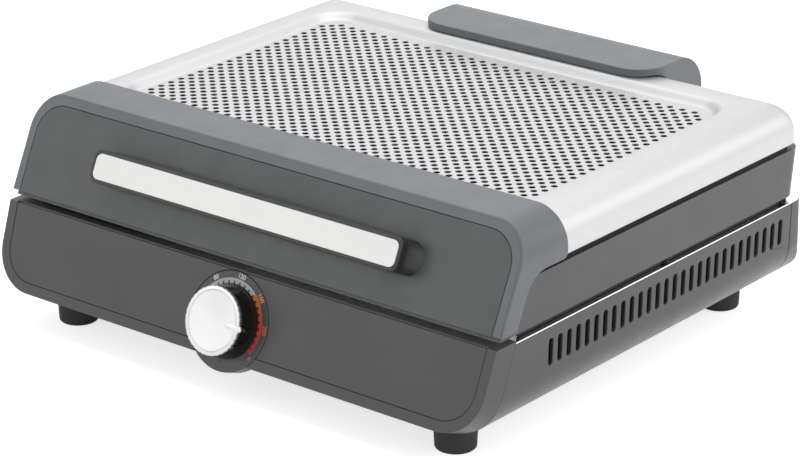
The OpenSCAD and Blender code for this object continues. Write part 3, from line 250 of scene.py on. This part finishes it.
def build_materials():
    """One material for each slot of the record, by the slot's name."""
    return {
        # Glass-filled nylon: satin, near-black on the handle, dark grey on the base, paler on the lid.
        "base_plastic": moulded_plastic("satin_black_nylon_base", "#464748", "#4a4b4c", 0.42),
        "front_plastic": moulded_plastic("satin_black_nylon_panel", "#3f4041", "#434445", 0.40),
        "dial_plastic": moulded_plastic("satin_black_nylon_dial", "#3f4041", "#434445", 0.38),
        "lid_plastic": moulded_plastic("satin_grey_nylon_lid", "#62666a", "#676b6f", 0.38),
        "handle_plastic": moulded_plastic("satin_black_nylon_handle", "#1f2021", "#242526", 0.38),
        # Pressed phenolic: dull and a little brown. Acrylic from a polished mould: black, sharp gloss.
        "control_plastic": moulded_plastic("grey_phenolic_control", "#6c6a63", "#77756e", 0.5),
        "knob_gloss": moulded_plastic("gloss_black_acrylic", "#0b0b0c", "#101011", 0.1, depth=0.0),
        # Brushed stainless: pale, with long soft highlights. Bright rolled: almost a mirror.
        "brushed_cover": brushed_steel("brushed_stainless_cover", "#bababa", "#c8c8c7", 0.46),
        "polished_steel": plain_metal("bright_rolled_stainless_well", "#e0e0de", "#ebebe9", 0.2,
                                      grain=8 * mm),
        # Mill-finish aluminium and rolled or plated steel: greyer and duller, screws a little mottled.
        "sheet_aluminium": plain_metal("mill_aluminium_shield", "#b4b6b8", "#c4c6c8", 0.34),
        "bracket_steel": plain_metal("rolled_steel_bracket", "#9b9c9c", "#a9aaaa", 0.36),
        "screw_steel": plain_metal("zinc_plated_screw", "#a5a7a8", "#b9bbbc", 0.3, patch=3 * mm),
        # Heat turns the element's sheath brown-black and matt. Drawn copper is warm and bright.
        "element_steel": plain_metal("heat_darkened_element", "#4a4541", "#5d5751", 0.48, patch=9 * mm),
        "copper": plain_metal("drawn_copper_tube", "#a8603f", "#b97352", 0.3, patch=8 * mm),
        # Brushed, clear-anodised aluminium and a spun cap: white metal with a broad, even sheen.
        "handle_metal": brushed_steel("satin_anodised_handle_plate", "#b9b9b8", "#c1c1c0", 0.45,
                                      grain=0.3 * mm),
        "knob_metal": plain_metal("spun_aluminium_cap", "#c3c3c3", "#cbcbcb", 0.36),
        # A sprayed ceramic coating: black and dull, with a slight orange peel.
        "coated_plate": moulded_plastic("non_stick_ceramic_coating", "#202122", "#262728", 0.48,
                                        grain=0.9 * mm, depth=0.05 * mm),
        # Silicone and rubber: dusty and matt. Fired steatite: off-white and dry.
        "seal_rubber": soft_rubber("black_silicone_seal", "#101011", "#151516"),
        "foot_rubber": soft_rubber("black_rubber_foot", "#3c3c3c", "#434343"),
        "lead_sleeve": soft_rubber("braided_silicone_sleeve", "#8c8a85", "#a4a29c"),
        "ceramic": moulded_plastic("white_steatite_bush", "#d6d1c6", "#e2ddd2", 0.55, depth=0.03 * mm),
    }


# ------------------------------------------------------------------ shapes worked out on grids

def rounded_loops(width, depth, corner, arc=10, side=14):
    """Rounded rectangles about the origin, one for each row. A corner point is the corner's centre, at
    half the width and depth less the radius, plus the radius turned through a quarter; a side is the
    straight line between two corners. Returns rows by points by x and y."""
    width, depth, corner = (np.atleast_1d(np.asarray(v, float))[:, None] for v in (width, depth, corner))
    turns = np.linspace(0, math.pi / 2, arc + 1)
    share = np.linspace(0, 1, side + 1)[1:-1][None, :, None]
    corners = []
    for quarter, (sx, sy) in enumerate(((1, 1), (-1, 1), (-1, -1), (1, -1))):
        angle = turns + quarter * math.pi / 2
        corners.append(np.stack([sx * (width / 2 - corner) + corner * np.cos(angle),
                                 sy * (depth / 2 - corner) + corner * np.sin(angle)], -1))
    loops = []
    for here, there in zip(corners, corners[1:] + corners[:1]):
        loops += [here, here[:, -1:] + (there[:, :1] - here[:, -1:]) * share]
    return np.concatenate(loops, 1)


def strip_faces(rows, count):
    """The four-cornered faces between neighbouring rows of closed loops, each of count points."""
    row, point = np.meshgrid(np.arange(rows - 1), np.arange(count), indexing="ij")
    here, after = row * count + point, row * count + (point + 1) % count
    return np.stack([here, after, after + count, here + count], -1).reshape(-1, 4)


def turned_surface(radius, height, count):
    """A profile turned about the third axis: each point is at radius times the cosine and sine of the
    turn, at its own height. Returns rows by points by 3."""
    turn = np.arange(count) * 2 * math.pi / count
    radius, height = np.asarray(radius, float)[:, None], np.asarray(height, float)[:, None]
    return np.stack([radius * np.cos(turn), radius * np.sin(turn), height + 0 * turn], -1)


def build_mesh(name, points, faces):
    """A smoothly shaded mesh whose sharper creases, and open edges, stay crisp."""
    sharp = 32 * deg
    mesh = bpy.data.meshes.new(name)
    mesh.from_pydata(points.reshape(-1, 3), [], [tuple(face) for face in faces])
    mesh.validate()
    ease = bmesh.new()
    ease.from_mesh(mesh)
    for face in ease.faces:
        face.smooth = True
    for edge in ease.edges:
        edge.smooth = len(edge.link_faces) == 2 and edge.calc_face_angle(0) < sharp
    ease.to_mesh(mesh)
    ease.free()
    return mesh


# ------------------------------------------------------------------ places and pieces

near = 0.05 * mm            # how close counts as lying on a plane
rear_round_d = 9 * mm       # depth of the round along the rear cover's lower edge
rear_round_h = 13 * mm      # and its height
hole_points = 12            # points round each hole of the perforated field
node_slots = {part["node"]: part["material_slot"] for part in frame["record"]["subparts"]}
node_bodies = {node: body for body, nodes in frame["record"]["behaviour"]["bodies"].items()
               for node in nodes}

# The dial's own frame: x to the right, y up its leaning face and z outward from the knob's axis.
knob_joint = next(j for j in frame["record"]["behaviour"]["joints"] if j["name"] == "knob_turn")
dial_centre = np.array(knob_joint["pos_m"])
dial_out = -np.array(knob_joint["axis"])
dial_axes = np.stack([[1.0, 0, 0], np.cross(dial_out, [1.0, 0, 0]), dial_out])

# The lid's front frame: x to the right, y up its leaning face and z outward, from the face's foot.
lid_lean = 25.7 * deg
lid_foot = np.array([0, *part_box("lid_bezel")[0].yz])
lid_axes = np.array([[1, 0, 0], [0, math.sin(lid_lean), math.cos(lid_lean)],
                     [0, -math.cos(lid_lean), math.sin(lid_lean)]])


def finish_piece(mesh, name, body, slot, replaced=(), finish=None):
    """Links a mesh as one piece that rides on a body and takes its finish from a slot."""
    piece = bpy.data.objects.new(name, mesh)
    bpy.context.scene.collection.objects.link(piece)
    mesh.materials.clear()
    mesh.materials.append(finish or finishes[slot])
    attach(piece, body)
    if replaced:
        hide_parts(*replaced)
    return piece


def eased_copy(node, width, broad=0.0, is_broad=None, segments=2, finish=None, levels=(), change=None):
    """A copy of a rigid node with its sharp edges eased, as a mould or a press leaves them: those that
    is_broad picks get the broad width. The copy may first be cut level, and change then moves its points,
    given as an array. The normals are weighted by area, so plane faces stay plane under the shading."""
    weld, flat, sharp = 0.002 * mm, 0.3 * deg, 30 * deg
    mesh = frame["nodes"][node].data.copy()
    mesh.name = node + "_eased"
    work = bmesh.new()
    work.from_mesh(mesh)
    bmesh.ops.remove_doubles(work, verts=work.verts, dist=weld)
    bmesh.ops.dissolve_limit(work, angle_limit=flat, verts=work.verts, edges=work.edges)
    for level in levels:
        everything = work.verts[:] + work.edges[:] + work.faces[:]
        bmesh.ops.bisect_plane(work, geom=everything, plane_co=(0, 0, level), plane_no=(0, 0, 1))
    work.to_mesh(mesh)
    work.clear()
    if change:
        points = np.empty(3 * len(mesh.vertices))
        mesh.vertices.foreach_get("co", points)
        mesh.vertices.foreach_set("co", change(points.reshape(-1, 3)).ravel())
    work.from_mesh(mesh)
    most = max(width, broad)
    weight = work.edges.layers.float.new("bevel_weight_edge")
    for face in work.faces:
        face.smooth = True
    for edge in work.edges:
        if len(edge.link_faces) == 2 and edge.calc_face_angle(0) > sharp:
            edge[weight] = (broad if is_broad and is_broad(edge) else width) / most
    work.to_mesh(mesh)
    work.free()
    piece = finish_piece(mesh, node + "_eased", node_bodies[node], node_slots[node], (node,), finish)
    bevel = piece.modifiers.new("eased_edges", "BEVEL")
    bevel.limit_method = "WEIGHT"
    bevel.width = most
    bevel.segments = segments
    bevel.use_clamp_overlap = False
    piece.modifiers.new("plane_faces", "WEIGHTED_NORMAL").weight = 100
    return piece


def on_lid_rim(edge):
    """Whether an edge lies between the lid bezel's leaning face and a wall that faces away from the
    middle of the face."""
    normal, middle = Vector(lid_axes[2]), Vector(lid_foot + 33 * mm * lid_axes[1])
    centre = (edge.verts[0].co + edge.verts[1].co) / 2
    if abs((centre - middle).dot(normal)) > near:
        return False
    front, wall = sorted((face.normal for face in edge.link_faces), key=lambda n: -n.dot(normal))
    return front.dot(normal) > 0.99 and wall.dot(centre - middle) > 0


def on_vent(edge):
    """Whether an edge lies round one of the side walls' vents, on the outside."""
    wall_x, vent_foot, vent_top = 193.4 * mm, 49.7 * mm, 67.3 * mm
    centre = (edge.verts[0].co + edge.verts[1].co) / 2
    return abs(centre.x) > wall_x and vent_foot < centre.z < vent_top


def skirt_edge_lifted(points):
    """Lifts the points of the lid skirt's lower edge by a little."""
    edge_z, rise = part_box("lid_skirt")[0].z, 1.7 * mm
    return points + (abs(points[:, 2:] - edge_z) < near) * [0, 0, rise]


def rounded_rear(points):
    """Draws the rear cover's lower rear edge in by an ellipse: its depth shrinks by the round's depth
    times one less the root of one less the square of how far a point lies below the round's top, as a
    share of the round's height."""
    low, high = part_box("base_rear_cover")
    under = np.clip(1 - (points[:, 2] - low.z) / rear_round_h, 0, 1)
    share = rear_round_d * (1 - np.sqrt(1 - under ** 2)) / (high.y - low.y)
    points[:, 1] -= (points[:, 1] - low.y) * share
    return points


def field_box():
    """The perforated field's middle along y, its width, its depth and its top, from its node."""
    low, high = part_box("lid_mesh")
    return (low.y + high.y) / 2, high.x - low.x, high.y - low.y, high.z


def field_height(x, y):
    """The dished field's height: its middle plus a share of x squared and of y squared."""
    middle_y, width, depth, top = field_box()
    sunk, rise_x, rise_y = 0.95 * mm, 1.25 * mm, 0.79 * mm
    return top - sunk + rise_x * (x / (width / 2)) ** 2 + rise_y * ((y - middle_y) / (depth / 2)) ** 2


def cover_outside():
    """The cover's outside as rows of rounded rectangles: a turned-in lip, a wall, a shoulder that goes
    in by R (1 - cos t) and up by R sin t, a flat border, and a step down to the field by half a cosine
    wave. Returns rows by points by 3."""
    low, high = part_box("lid_steel_cover")
    width, depth, middle_y = high.x - low.x, high.y - low.y, (low.y + high.y) / 2
    shoulder, wall_corner, top_corner = 19.5 * mm, 12 * mm, 0.6 * mm
    turn = np.linspace(0, math.pi / 2, 15)
    inset = np.concatenate([[3 * mm, 0.7 * mm, 0.2 * mm, 0], shoulder * (1 - np.cos(turn))])
    height = np.concatenate([[low.z, low.z, low.z + 0.2 * mm, low.z + 0.7 * mm],
                             high.z - shoulder + shoulder * np.sin(turn)])
    corner = wall_corner + (top_corner - wall_corner) * inset / shoulder
    outer = rounded_loops(width - 2 * inset, depth - 2 * inset, corner) + [0, middle_y]
    outer = np.concatenate([outer, np.broadcast_to(height[:, None, None], outer.shape[:2] + (1,))], -1)
    field_y, field_w, field_d = field_box()[:3]
    step_w, field_corner = 7.6 * mm, 15 * mm
    share = np.linspace(0, 1, 11)
    reach = step_w * (1 - share)
    inner = rounded_loops(field_w + 2 * reach, field_d + 2 * reach, field_corner + reach) + [0, field_y]
    fall = ((1 - np.cos(math.pi * share)) / 2)[:, None]
    step_z = high.z + (field_height(inner[..., 0], inner[..., 1]) - high.z) * fall
    return np.concatenate([outer, np.concatenate([inner, step_z[..., None]], -1)])


def punched_holes():
    """The field's holes as rings of points: they stand on a square grid with one more in each square's
    middle, and the grid's four corners are left whole. Returns points by x and y, ring after ring."""
    pitch, hole_r, columns, lines = 9.314 * mm, 2.2 * mm, 33, 20
    i, j = np.meshgrid(np.arange(-columns, columns + 1), np.arange(-lines, lines + 1), indexing="ij")
    holed = ((i + j) % 2 != 0) & (abs(i) + abs(j) < columns + lines)
    centres = np.stack([i[holed] * pitch / 2, j[holed] * pitch / 2 + field_box()[0]], -1)
    turn = (np.arange(hole_points) + 0.5) * 2 * math.pi / hole_points
    return (centres[:, None] + hole_r * np.stack([np.cos(turn), np.sin(turn)], -1)).reshape(-1, 2)


def sheet_between(edge, holes):
    """The sheet between its edge and its hole rings as triangles, whose corners are counted through the
    edge's points and then the holes'. Those with all three corners on one hole are left out."""
    flat = np.concatenate([edge, holes])
    triangles = np.array(delaunay_2d_cdt([Vector(p) for p in flat.tolist()], [], [], 0, 1e-7)[2])
    ring = ((np.arange(len(flat)) - len(edge)) // hole_points)[triangles]
    closing = (ring[:, 0] >= 0) & (ring[:, 0] == ring[:, 1]) & (ring[:, 1] == ring[:, 2])
    return triangles[~closing]


def build_lid_cover():
    """The lid's pressed steel cover with its dished, perforated field, as one sheet."""
    outside, holes = cover_outside(), punched_holes()
    rows, count = outside.shape[:2]
    triangles = sheet_between(outside[-1, :, :2], holes) + (rows - 1) * count
    field = np.column_stack([holes, field_height(holes[:, 0], holes[:, 1])])
    mesh = build_mesh("pressed_lid_cover", np.concatenate([outside.reshape(-1, 3), field]),
                      strip_faces(rows, count).tolist() + triangles.tolist())
    piece = finish_piece(mesh, "pressed_lid_cover", "lid", "brushed_cover", ("lid_steel_cover", "lid_mesh"))
    wall = piece.modifiers.new("sheet_thickness", "SOLIDIFY")
    wall.thickness = 0.6 * mm
    wall.offset = -1


def at_dial(points):
    """Carries points from the dial's frame to the grill's."""
    return np.asarray(points) @ dial_axes + dial_centre


def clock(points, angle):
    """Turns points clockwise about the dial's axis, by degrees."""
    c, s = math.cos(angle * deg), math.sin(angle * deg)
    return np.asarray(points) @ np.array([[c, -s, 0], [s, c, 0], [0, 0, 1]])


def ring_part(start, end, inner, outer, low, high, count):
    """A flat slab round the dial: its four-cornered section stands at each clockwise angle from start
    to end, at the sine and cosine of the angle, and both ends are closed. Returns points and faces."""
    angle = np.linspace(start, end, count)[:, None] * deg
    radius = np.array([[inner, outer, outer, inner]])
    height = np.array([[low, low, high, high]]) + 0 * angle
    points = np.stack([radius * np.sin(angle), radius * np.cos(angle), height], -1)
    last = 4 * (count - 1)
    faces = strip_faces(count, 4)[:, ::-1].tolist()
    return points.reshape(-1, 3), faces + [[0, 1, 2, 3], [last + 3, last + 2, last + 1, last]]


def join_parts(parts):
    """Several lots of points and faces as one."""
    points, faces, first = [], [], 0
    for some, shapes in parts:
        points.append(some)
        faces += [[first + corner for corner in face] for face in shapes]
        first += len(some)
    return np.concatenate(points), faces


def clock_share(angle):
    """A clockwise angle from the top, in degrees, as the radial gradient's 0 to 1 value."""
    return (90 - angle) / 360 + 0.5


def heat_band_ink():
    """Pad-printed ink in a scale of heat: pale grey, then orange that deepens to red clockwise."""
    material, tree, shader, place = new_material("pad_printed_heat_scale", Roughness=0.4)
    turn = Matrix(dial_axes.tolist()).transposed().to_euler()
    mapping = add(tree, "ShaderNodeMapping", {"Vector": place, "Location": dial_centre.tolist(),
                                              "Rotation": turn}, vector_type="TEXTURE")
    angle = add(tree, "ShaderNodeTexGradient", {"Vector": mapping.outputs[0]}, gradient_type="RADIAL")
    ramp = add(tree, "ShaderNodeValToRGB", {"Fac": angle.outputs["Fac"]})
    scale = ramp.color_ramp
    stops = ((125, "#bf3a33"), (85, "#c94a38"), (60, "#d4622f"), (38, "#dc7a3d"), (36.5, "#b9bbbd"))
    scale.elements[0].position, scale.elements[0].color = clock_share(stops[0][0]), srgb(stops[0][1])
    scale.elements[1].position, scale.elements[1].color = clock_share(stops[-1][0]), srgb(stops[-1][1])
    for at, code in stops[1:-1]:
        scale.elements.new(clock_share(at)).color = srgb(code)
    tree.links.new(ramp.outputs["Color"], shader.inputs["Base Color"])
    return material


def build_dial_print():
    """The dial's print: a heat band with dark notches for the steps, and numbers outside it. Angles are
    degrees clockwise from the top."""
    skin = 0.05 * mm
    band_start, band_end, number_r = -62, 125.5, 28.45 * mm
    first_step, step, steps = -34, 10.13, 16
    band = ring_part(band_start, band_end, 23.1 * mm, 26.4 * mm, 0, skin, 76)
    piece_at_dial("dial_heat_band", *band, "base", "dial_plastic", heat_band_ink())
    dark_ink = printed_ink("pad_printed_black", "#2a2a2b")
    notches = [ring_part(angle - 1.5, angle + 1.5, 22.9 * mm, 24.7 * mm, 0, 2 * skin, 3)
               for angle in np.arange(steps) * step + first_step]
    notches.append(ring_part(band_start, 146, 22.85 * mm, 23.25 * mm, 0, 2 * skin, 84))
    notches.append(ring_part(178, 182, 23.4 * mm, 24.6 * mm, 0, 2 * skin, 3))
    piece_at_dial("dial_notches", *join_parts(notches), "base", "dial_plastic", dark_ink)
    numbers = {"80": (-34.5, "pale", "#d9dadb"), "120": (6.5, "pale", "#d9dadb"),
               "160": (47.3, "orange", "#e0915a"), "200": (87.3, "red", "#d9604e")}
    for word, (angle, tone, code) in numbers.items():
        points, faces = number_shape(word, 4.1 * mm, skin)
        points = clock(points + [0, number_r, 0], angle)
        ink = bpy.data.materials.get("pad_printed_" + tone) or printed_ink("pad_printed_" + tone, code)
        piece_at_dial("dial_number_" + word, points, faces, "base", "dial_plastic", ink)
    highest = ring_part(126.5, 131.5, 27.2 * mm, 28.6 * mm, 0, skin, 5)
    piece_at_dial("dial_highest_mark", *highest, "base", "dial_plastic",
                  bpy.data.materials["pad_printed_red"])


def number_shape(word, size, skin):
    """A word set in the built-in face, centred, as thin closed letters. Returns points and faces."""
    curve = bpy.data.curves.new(word, "FONT")
    curve.body = word
    curve.size = size
    curve.align_x = curve.align_y = "CENTER"
    curve.extrude = skin / 2
    curve.resolution_u = 4
    curve.offset = 0.035 * size
    letters = bpy.data.objects.new(word, curve)
    mesh = bpy.data.meshes.new_from_object(letters)
    points = np.empty(3 * len(mesh.vertices))
    mesh.vertices.foreach_get("co", points)
    faces = [list(face.vertices) for face in mesh.polygons]
    bpy.data.objects.remove(letters)
    bpy.data.curves.remove(curve)
    bpy.data.meshes.remove(mesh)
    return points.reshape(-1, 3) + [0, 0, skin / 2], faces


def piece_at_dial(name, points, faces, body, slot, finish=None, replaced=()):
    """A piece given in the dial's frame."""
    mesh = build_mesh(name, at_dial(points), faces)
    return finish_piece(mesh, name, body, slot, replaced, finish)


def closed_turning(radius, height, count, flute=None):
    """A turned solid with its first and last points on the axis: the two end rows become fans about one
    point. Flutes take a share of each row's radius by the square of the raised cosine of their count
    times the turn. Returns points and faces."""
    rows = turned_surface(radius[1:-1], height[1:-1], count)
    if flute:
        number, depth = flute
        turn = np.arange(count) * 2 * math.pi / count
        scallop = np.clip(np.cos(number * turn), 0, 1) ** 2
        shrink = 1 - np.asarray(depth)[1:-1, None] * scallop / np.asarray(radius)[1:-1, None]
        rows[..., :2] *= shrink[..., None]
    points = np.concatenate([rows.reshape(-1, 3), [[0, 0, height[0]], [0, 0, height[-1]]]])
    here = np.arange(count)
    after = (here + 1) % count
    last = (len(rows) - 1) * count
    low = np.stack([after, here, here * 0 + len(points) - 2], -1).tolist()
    top = np.stack([last + here, last + after, here * 0 + len(points) - 1], -1).tolist()
    return points, strip_faces(len(rows), count).tolist() + low + top


def build_knob():
    """The gloss skirt with its clear pointer rib, and the spun cap with a rim, a groove and a bar. The
    profiles run from the foot's middle, up the outside, to the top's middle."""
    foot, body, pointer = 22.7 * mm, 21.1 * mm, 91
    skirt_r = np.array([0, foot - 0.4 * mm, foot, foot, foot - 0.5 * mm, body + 0.2 * mm, body,
                        body - 0.4 * mm, body - 2 * mm, 0])
    skirt_h = np.array([0.5, 0.5, 0.8, 1.4, 2.6, 9.0, 12.6, 12.95, 13.0, 13.0]) * mm
    skirt = closed_turning(skirt_r, skirt_h, 128)
    rib = bar_shape(5 * mm, 2.2 * mm, [0.9 * mm, 1.1 * mm, 11.6 * mm, 12.2 * mm],
                    [0.3 * mm, 0, 0, 0.5 * mm], 20.9 * mm)
    skirt = join_parts([skirt, (clock(rib[0], pointer), rib[1])])
    piece_at_dial("gloss_knob_skirt", *skirt, "knob", "knob_gloss", replaced=("knob_skirt",))
    cap_r = np.array([0, 20.3, 20.9, 21.1, 21.1, 20.9, 20.5, 19.0, 18.8, 18.6, 18.4, 18.1, 9, 0]) * mm
    cap_h = np.array([13.05, 13.05, 13.1, 13.4, 14.4, 14.85, 15.0, 15.0, 14.8, 14.45, 14.45, 14.75,
                      14.45, 14.3]) * mm
    flute_depth = np.array([0, 0.2, 0.28, 0.3, 0.3, 0.25, 0.1, 0, 0, 0, 0, 0, 0, 0]) * mm
    cap = closed_turning(cap_r, cap_h, 288, (36, flute_depth))
    bar = bar_shape(12.6 * mm, 3.6 * mm, [13.4 * mm, 14.5 * mm, 14.85 * mm, 14.95 * mm],
                    [0, 0, 0.25 * mm, 0.8 * mm], 16.4 * mm)
    cap = join_parts([cap, (clock(bar[0], pointer), bar[1])])
    piece_at_dial("spun_knob_cap", *cap, "knob", "knob_metal", replaced=("knob_cap",))


def stacked_solid(width, depth, corner, height, middle_x=0.0, middle_y=0.0, arc=5):
    """Rounded rectangles stacked at the heights and joined into a solid whose first and last ones are
    its end faces. Returns points and faces."""
    height = np.asarray(height)
    flat = rounded_loops(width, depth, corner, arc, side=1)
    flat = flat + np.stack([middle_x + 0 * height, middle_y + 0 * height], -1)[:, None]
    rise = np.broadcast_to(height[:, None, None], flat.shape[:2] + (1,))
    rows, count = flat.shape[:2]
    last = (rows - 1) * count
    faces = strip_faces(rows, count).tolist()
    return (np.concatenate([flat, rise], -1).reshape(-1, 3),
            faces + [list(range(count))[::-1], list(range(last, last + count))])


def bar_shape(length, width, heights, insets, out):
    """A bar that points outward along the dial's y at a distance out: each of its stacked rounded
    rectangles is drawn in by its inset. Returns points and faces."""
    insets = np.asarray(insets)
    return stacked_solid(width - 2 * insets, length - 2 * insets,
                         np.maximum(width * 0.48 - insets, 0.05 * mm), heights, middle_y=out)


def build_handle():
    """The handle: a bar with an eased outer edge and a pocket for its plate, on two posts. Past its
    straight end each post spreads towards the lid by its flare times (1 - height / its own height) to
    the power of 1.5, and its corners grow rounder."""
    length, depth, up = 245 * mm, 21 * mm, 30 * mm
    post, flare, flare_h = 13.5 * mm, 6 * mm, 12 * mm

    def spread_at(height):
        return flare * np.clip(1 - height / flare_h, 0, 1) ** 1.5

    def corner_at(height):
        return (5.5 + 3.3 * np.clip(1 - height / flare_h, 0, 1)) * mm

    inset = np.array([0.6, 0.15, 0, 0, 0, 0, 0.12, 0.42, 0.9, 2.1, 2.18, 2.18]) * mm
    height = np.array([8.5, 8.6, 9.0, 10.2, 12, 13.4, 14.0, 14.36, 14.5, 14.5, 14.4, 13.3]) * mm
    bar = stacked_solid(length + 2 * spread_at(height) - 2 * inset, depth - 2 * inset,
                        corner_at(height) - inset, height, middle_y=up, arc=8)
    height = np.linspace(0, 9.4, 9) * mm
    width = post + spread_at(height) + 0.03 * mm
    posts = [stacked_solid(width, depth + 0.06 * mm + 0 * height, np.minimum(corner_at(height), 0.49 * width),
                           height, side * (length / 2 - post + width / 2), up, arc=8)
             for side in (-1, 1)]
    points, faces = join_parts([bar] + posts)
    mesh = build_mesh("eased_handle_bar", points @ lid_axes + lid_foot, faces)
    finish_piece(mesh, "eased_handle_bar", "lid", "handle_plastic", ("handle_bar",))


def build_painted_shade_lip():
    """A dark lip of painted shade inside the lid skirt's lower edge, standing in for the shade that falls in
    the gap under the skirt: a thin upright rectangle carried along both sides and the rear, on straight runs
    and quarter turns."""
    side, rear, front, radius, thick = 190.4 * mm, 152.4 * mm, -132 * mm, 9.6 * mm, 1.6 * mm
    top, foot = 82.0 * mm, 75.9 * mm
    turn = np.linspace(0, math.pi / 2, 9)
    across, along = np.cos(turn), np.sin(turn)
    right = np.stack([side + radius * (across - 1), rear + radius * (along - 1)], -1)
    path = np.concatenate([[[side, front]], right, right[::-1] * [-1, 1], [[-side, front]]])
    right = np.stack([across, along], -1)
    way_out = np.concatenate([[[1, 0]], right, right[::-1] * [-1, 1], [[-1, 0]]])
    inset = np.array([0, 0, thick, thick])[None, :, None]
    height = np.broadcast_to(np.array([top, foot, foot, top])[:, None], (len(path), 4, 1))
    points = np.concatenate([path[:, None] - inset * way_out[:, None], height], -1)
    last = 4 * (len(path) - 1)
    faces = strip_faces(len(path), 4).tolist() + [[3, 2, 1, 0], [last, last + 1, last + 2, last + 3]]
    mesh = build_mesh("painted_shade_skirt_lip", points, faces)
    # painted shade: a dark rubber finish, darker than the skirt, that stands in for the shade in the gap
    # under the skirt's edge
    finish_piece(mesh, "painted_shade_skirt_lip", "lid", "seal_rubber", (),
                 soft_rubber("painted_shade_lip_finish", "#343434", "#3a3a3a"))


def build_eased_nodes():
    """Copies of the moulded and pressed nodes with eased edges. The lid's bezel has a broader round
    along the outside of its leaning face, and the vents have rounded mouths. The skirt ends a little
    higher than its node, on taller pads, and the rear cover's lower rear edge is rounded."""
    shell_finish = moulded_plastic("satin_black_nylon_shell", "#3b3c3d", "#3f4041", 0.33)
    panel_finish = moulded_plastic("satin_black_nylon_lid_panel", "#484a4b", "#4c4e4f", 0.40)
    eased_copy("lid_bezel", 0.3 * mm, 1.6 * mm, on_lid_rim, 3)
    eased_copy("base_shell", 0.3 * mm, 0.6 * mm, on_vent, 3, finish=shell_finish)
    eased_copy("lid_front_panel", 0.4 * mm, finish=panel_finish)
    eased_copy("lid_skirt", 0.3 * mm, change=skirt_edge_lifted)
    eased_copy("lid_bumpers", 0.2 * mm, change=skirt_edge_lifted)
    rise = rear_round_h * (1 - np.cos(np.arange(1, 7) * 15 * deg))
    eased_copy("base_rear_cover", 0.4 * mm, change=rounded_rear, finish=shell_finish,
               levels=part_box("base_rear_cover")[0].z + rise)
    for node, width in {"base_front_panel": 0.4, "dial_plate": 0.4, "handle_plate": 0.25, "hinge_cover": 0.7,
                        "foot_front_left": 0.5, "foot_front_right": 0.5, "foot_rear_left": 0.5,
                        "foot_rear_right": 0.5, "hinge_lug_left": 0.4, "hinge_lug_right": 0.4,
                        "hinge_arm_left": 0.2, "hinge_arm_right": 0.2, "cooking_well": 0.3,
                        "grill_plate": 0.7, "grease_catch": 0.2}.items():
        eased_copy(node, width * mm)


build_camera()
build_studio()
bpy.context.scene.view_settings.view_transform = "Standard"
finishes = build_materials()
for name, node in frame["nodes"].items():
    node.data.materials.clear()
    node.data.materials.append(finishes[node_slots[name]])

build_lid_cover()
build_dial_print()
build_knob()
build_handle()
build_painted_shade_lip()
build_eased_nodes()
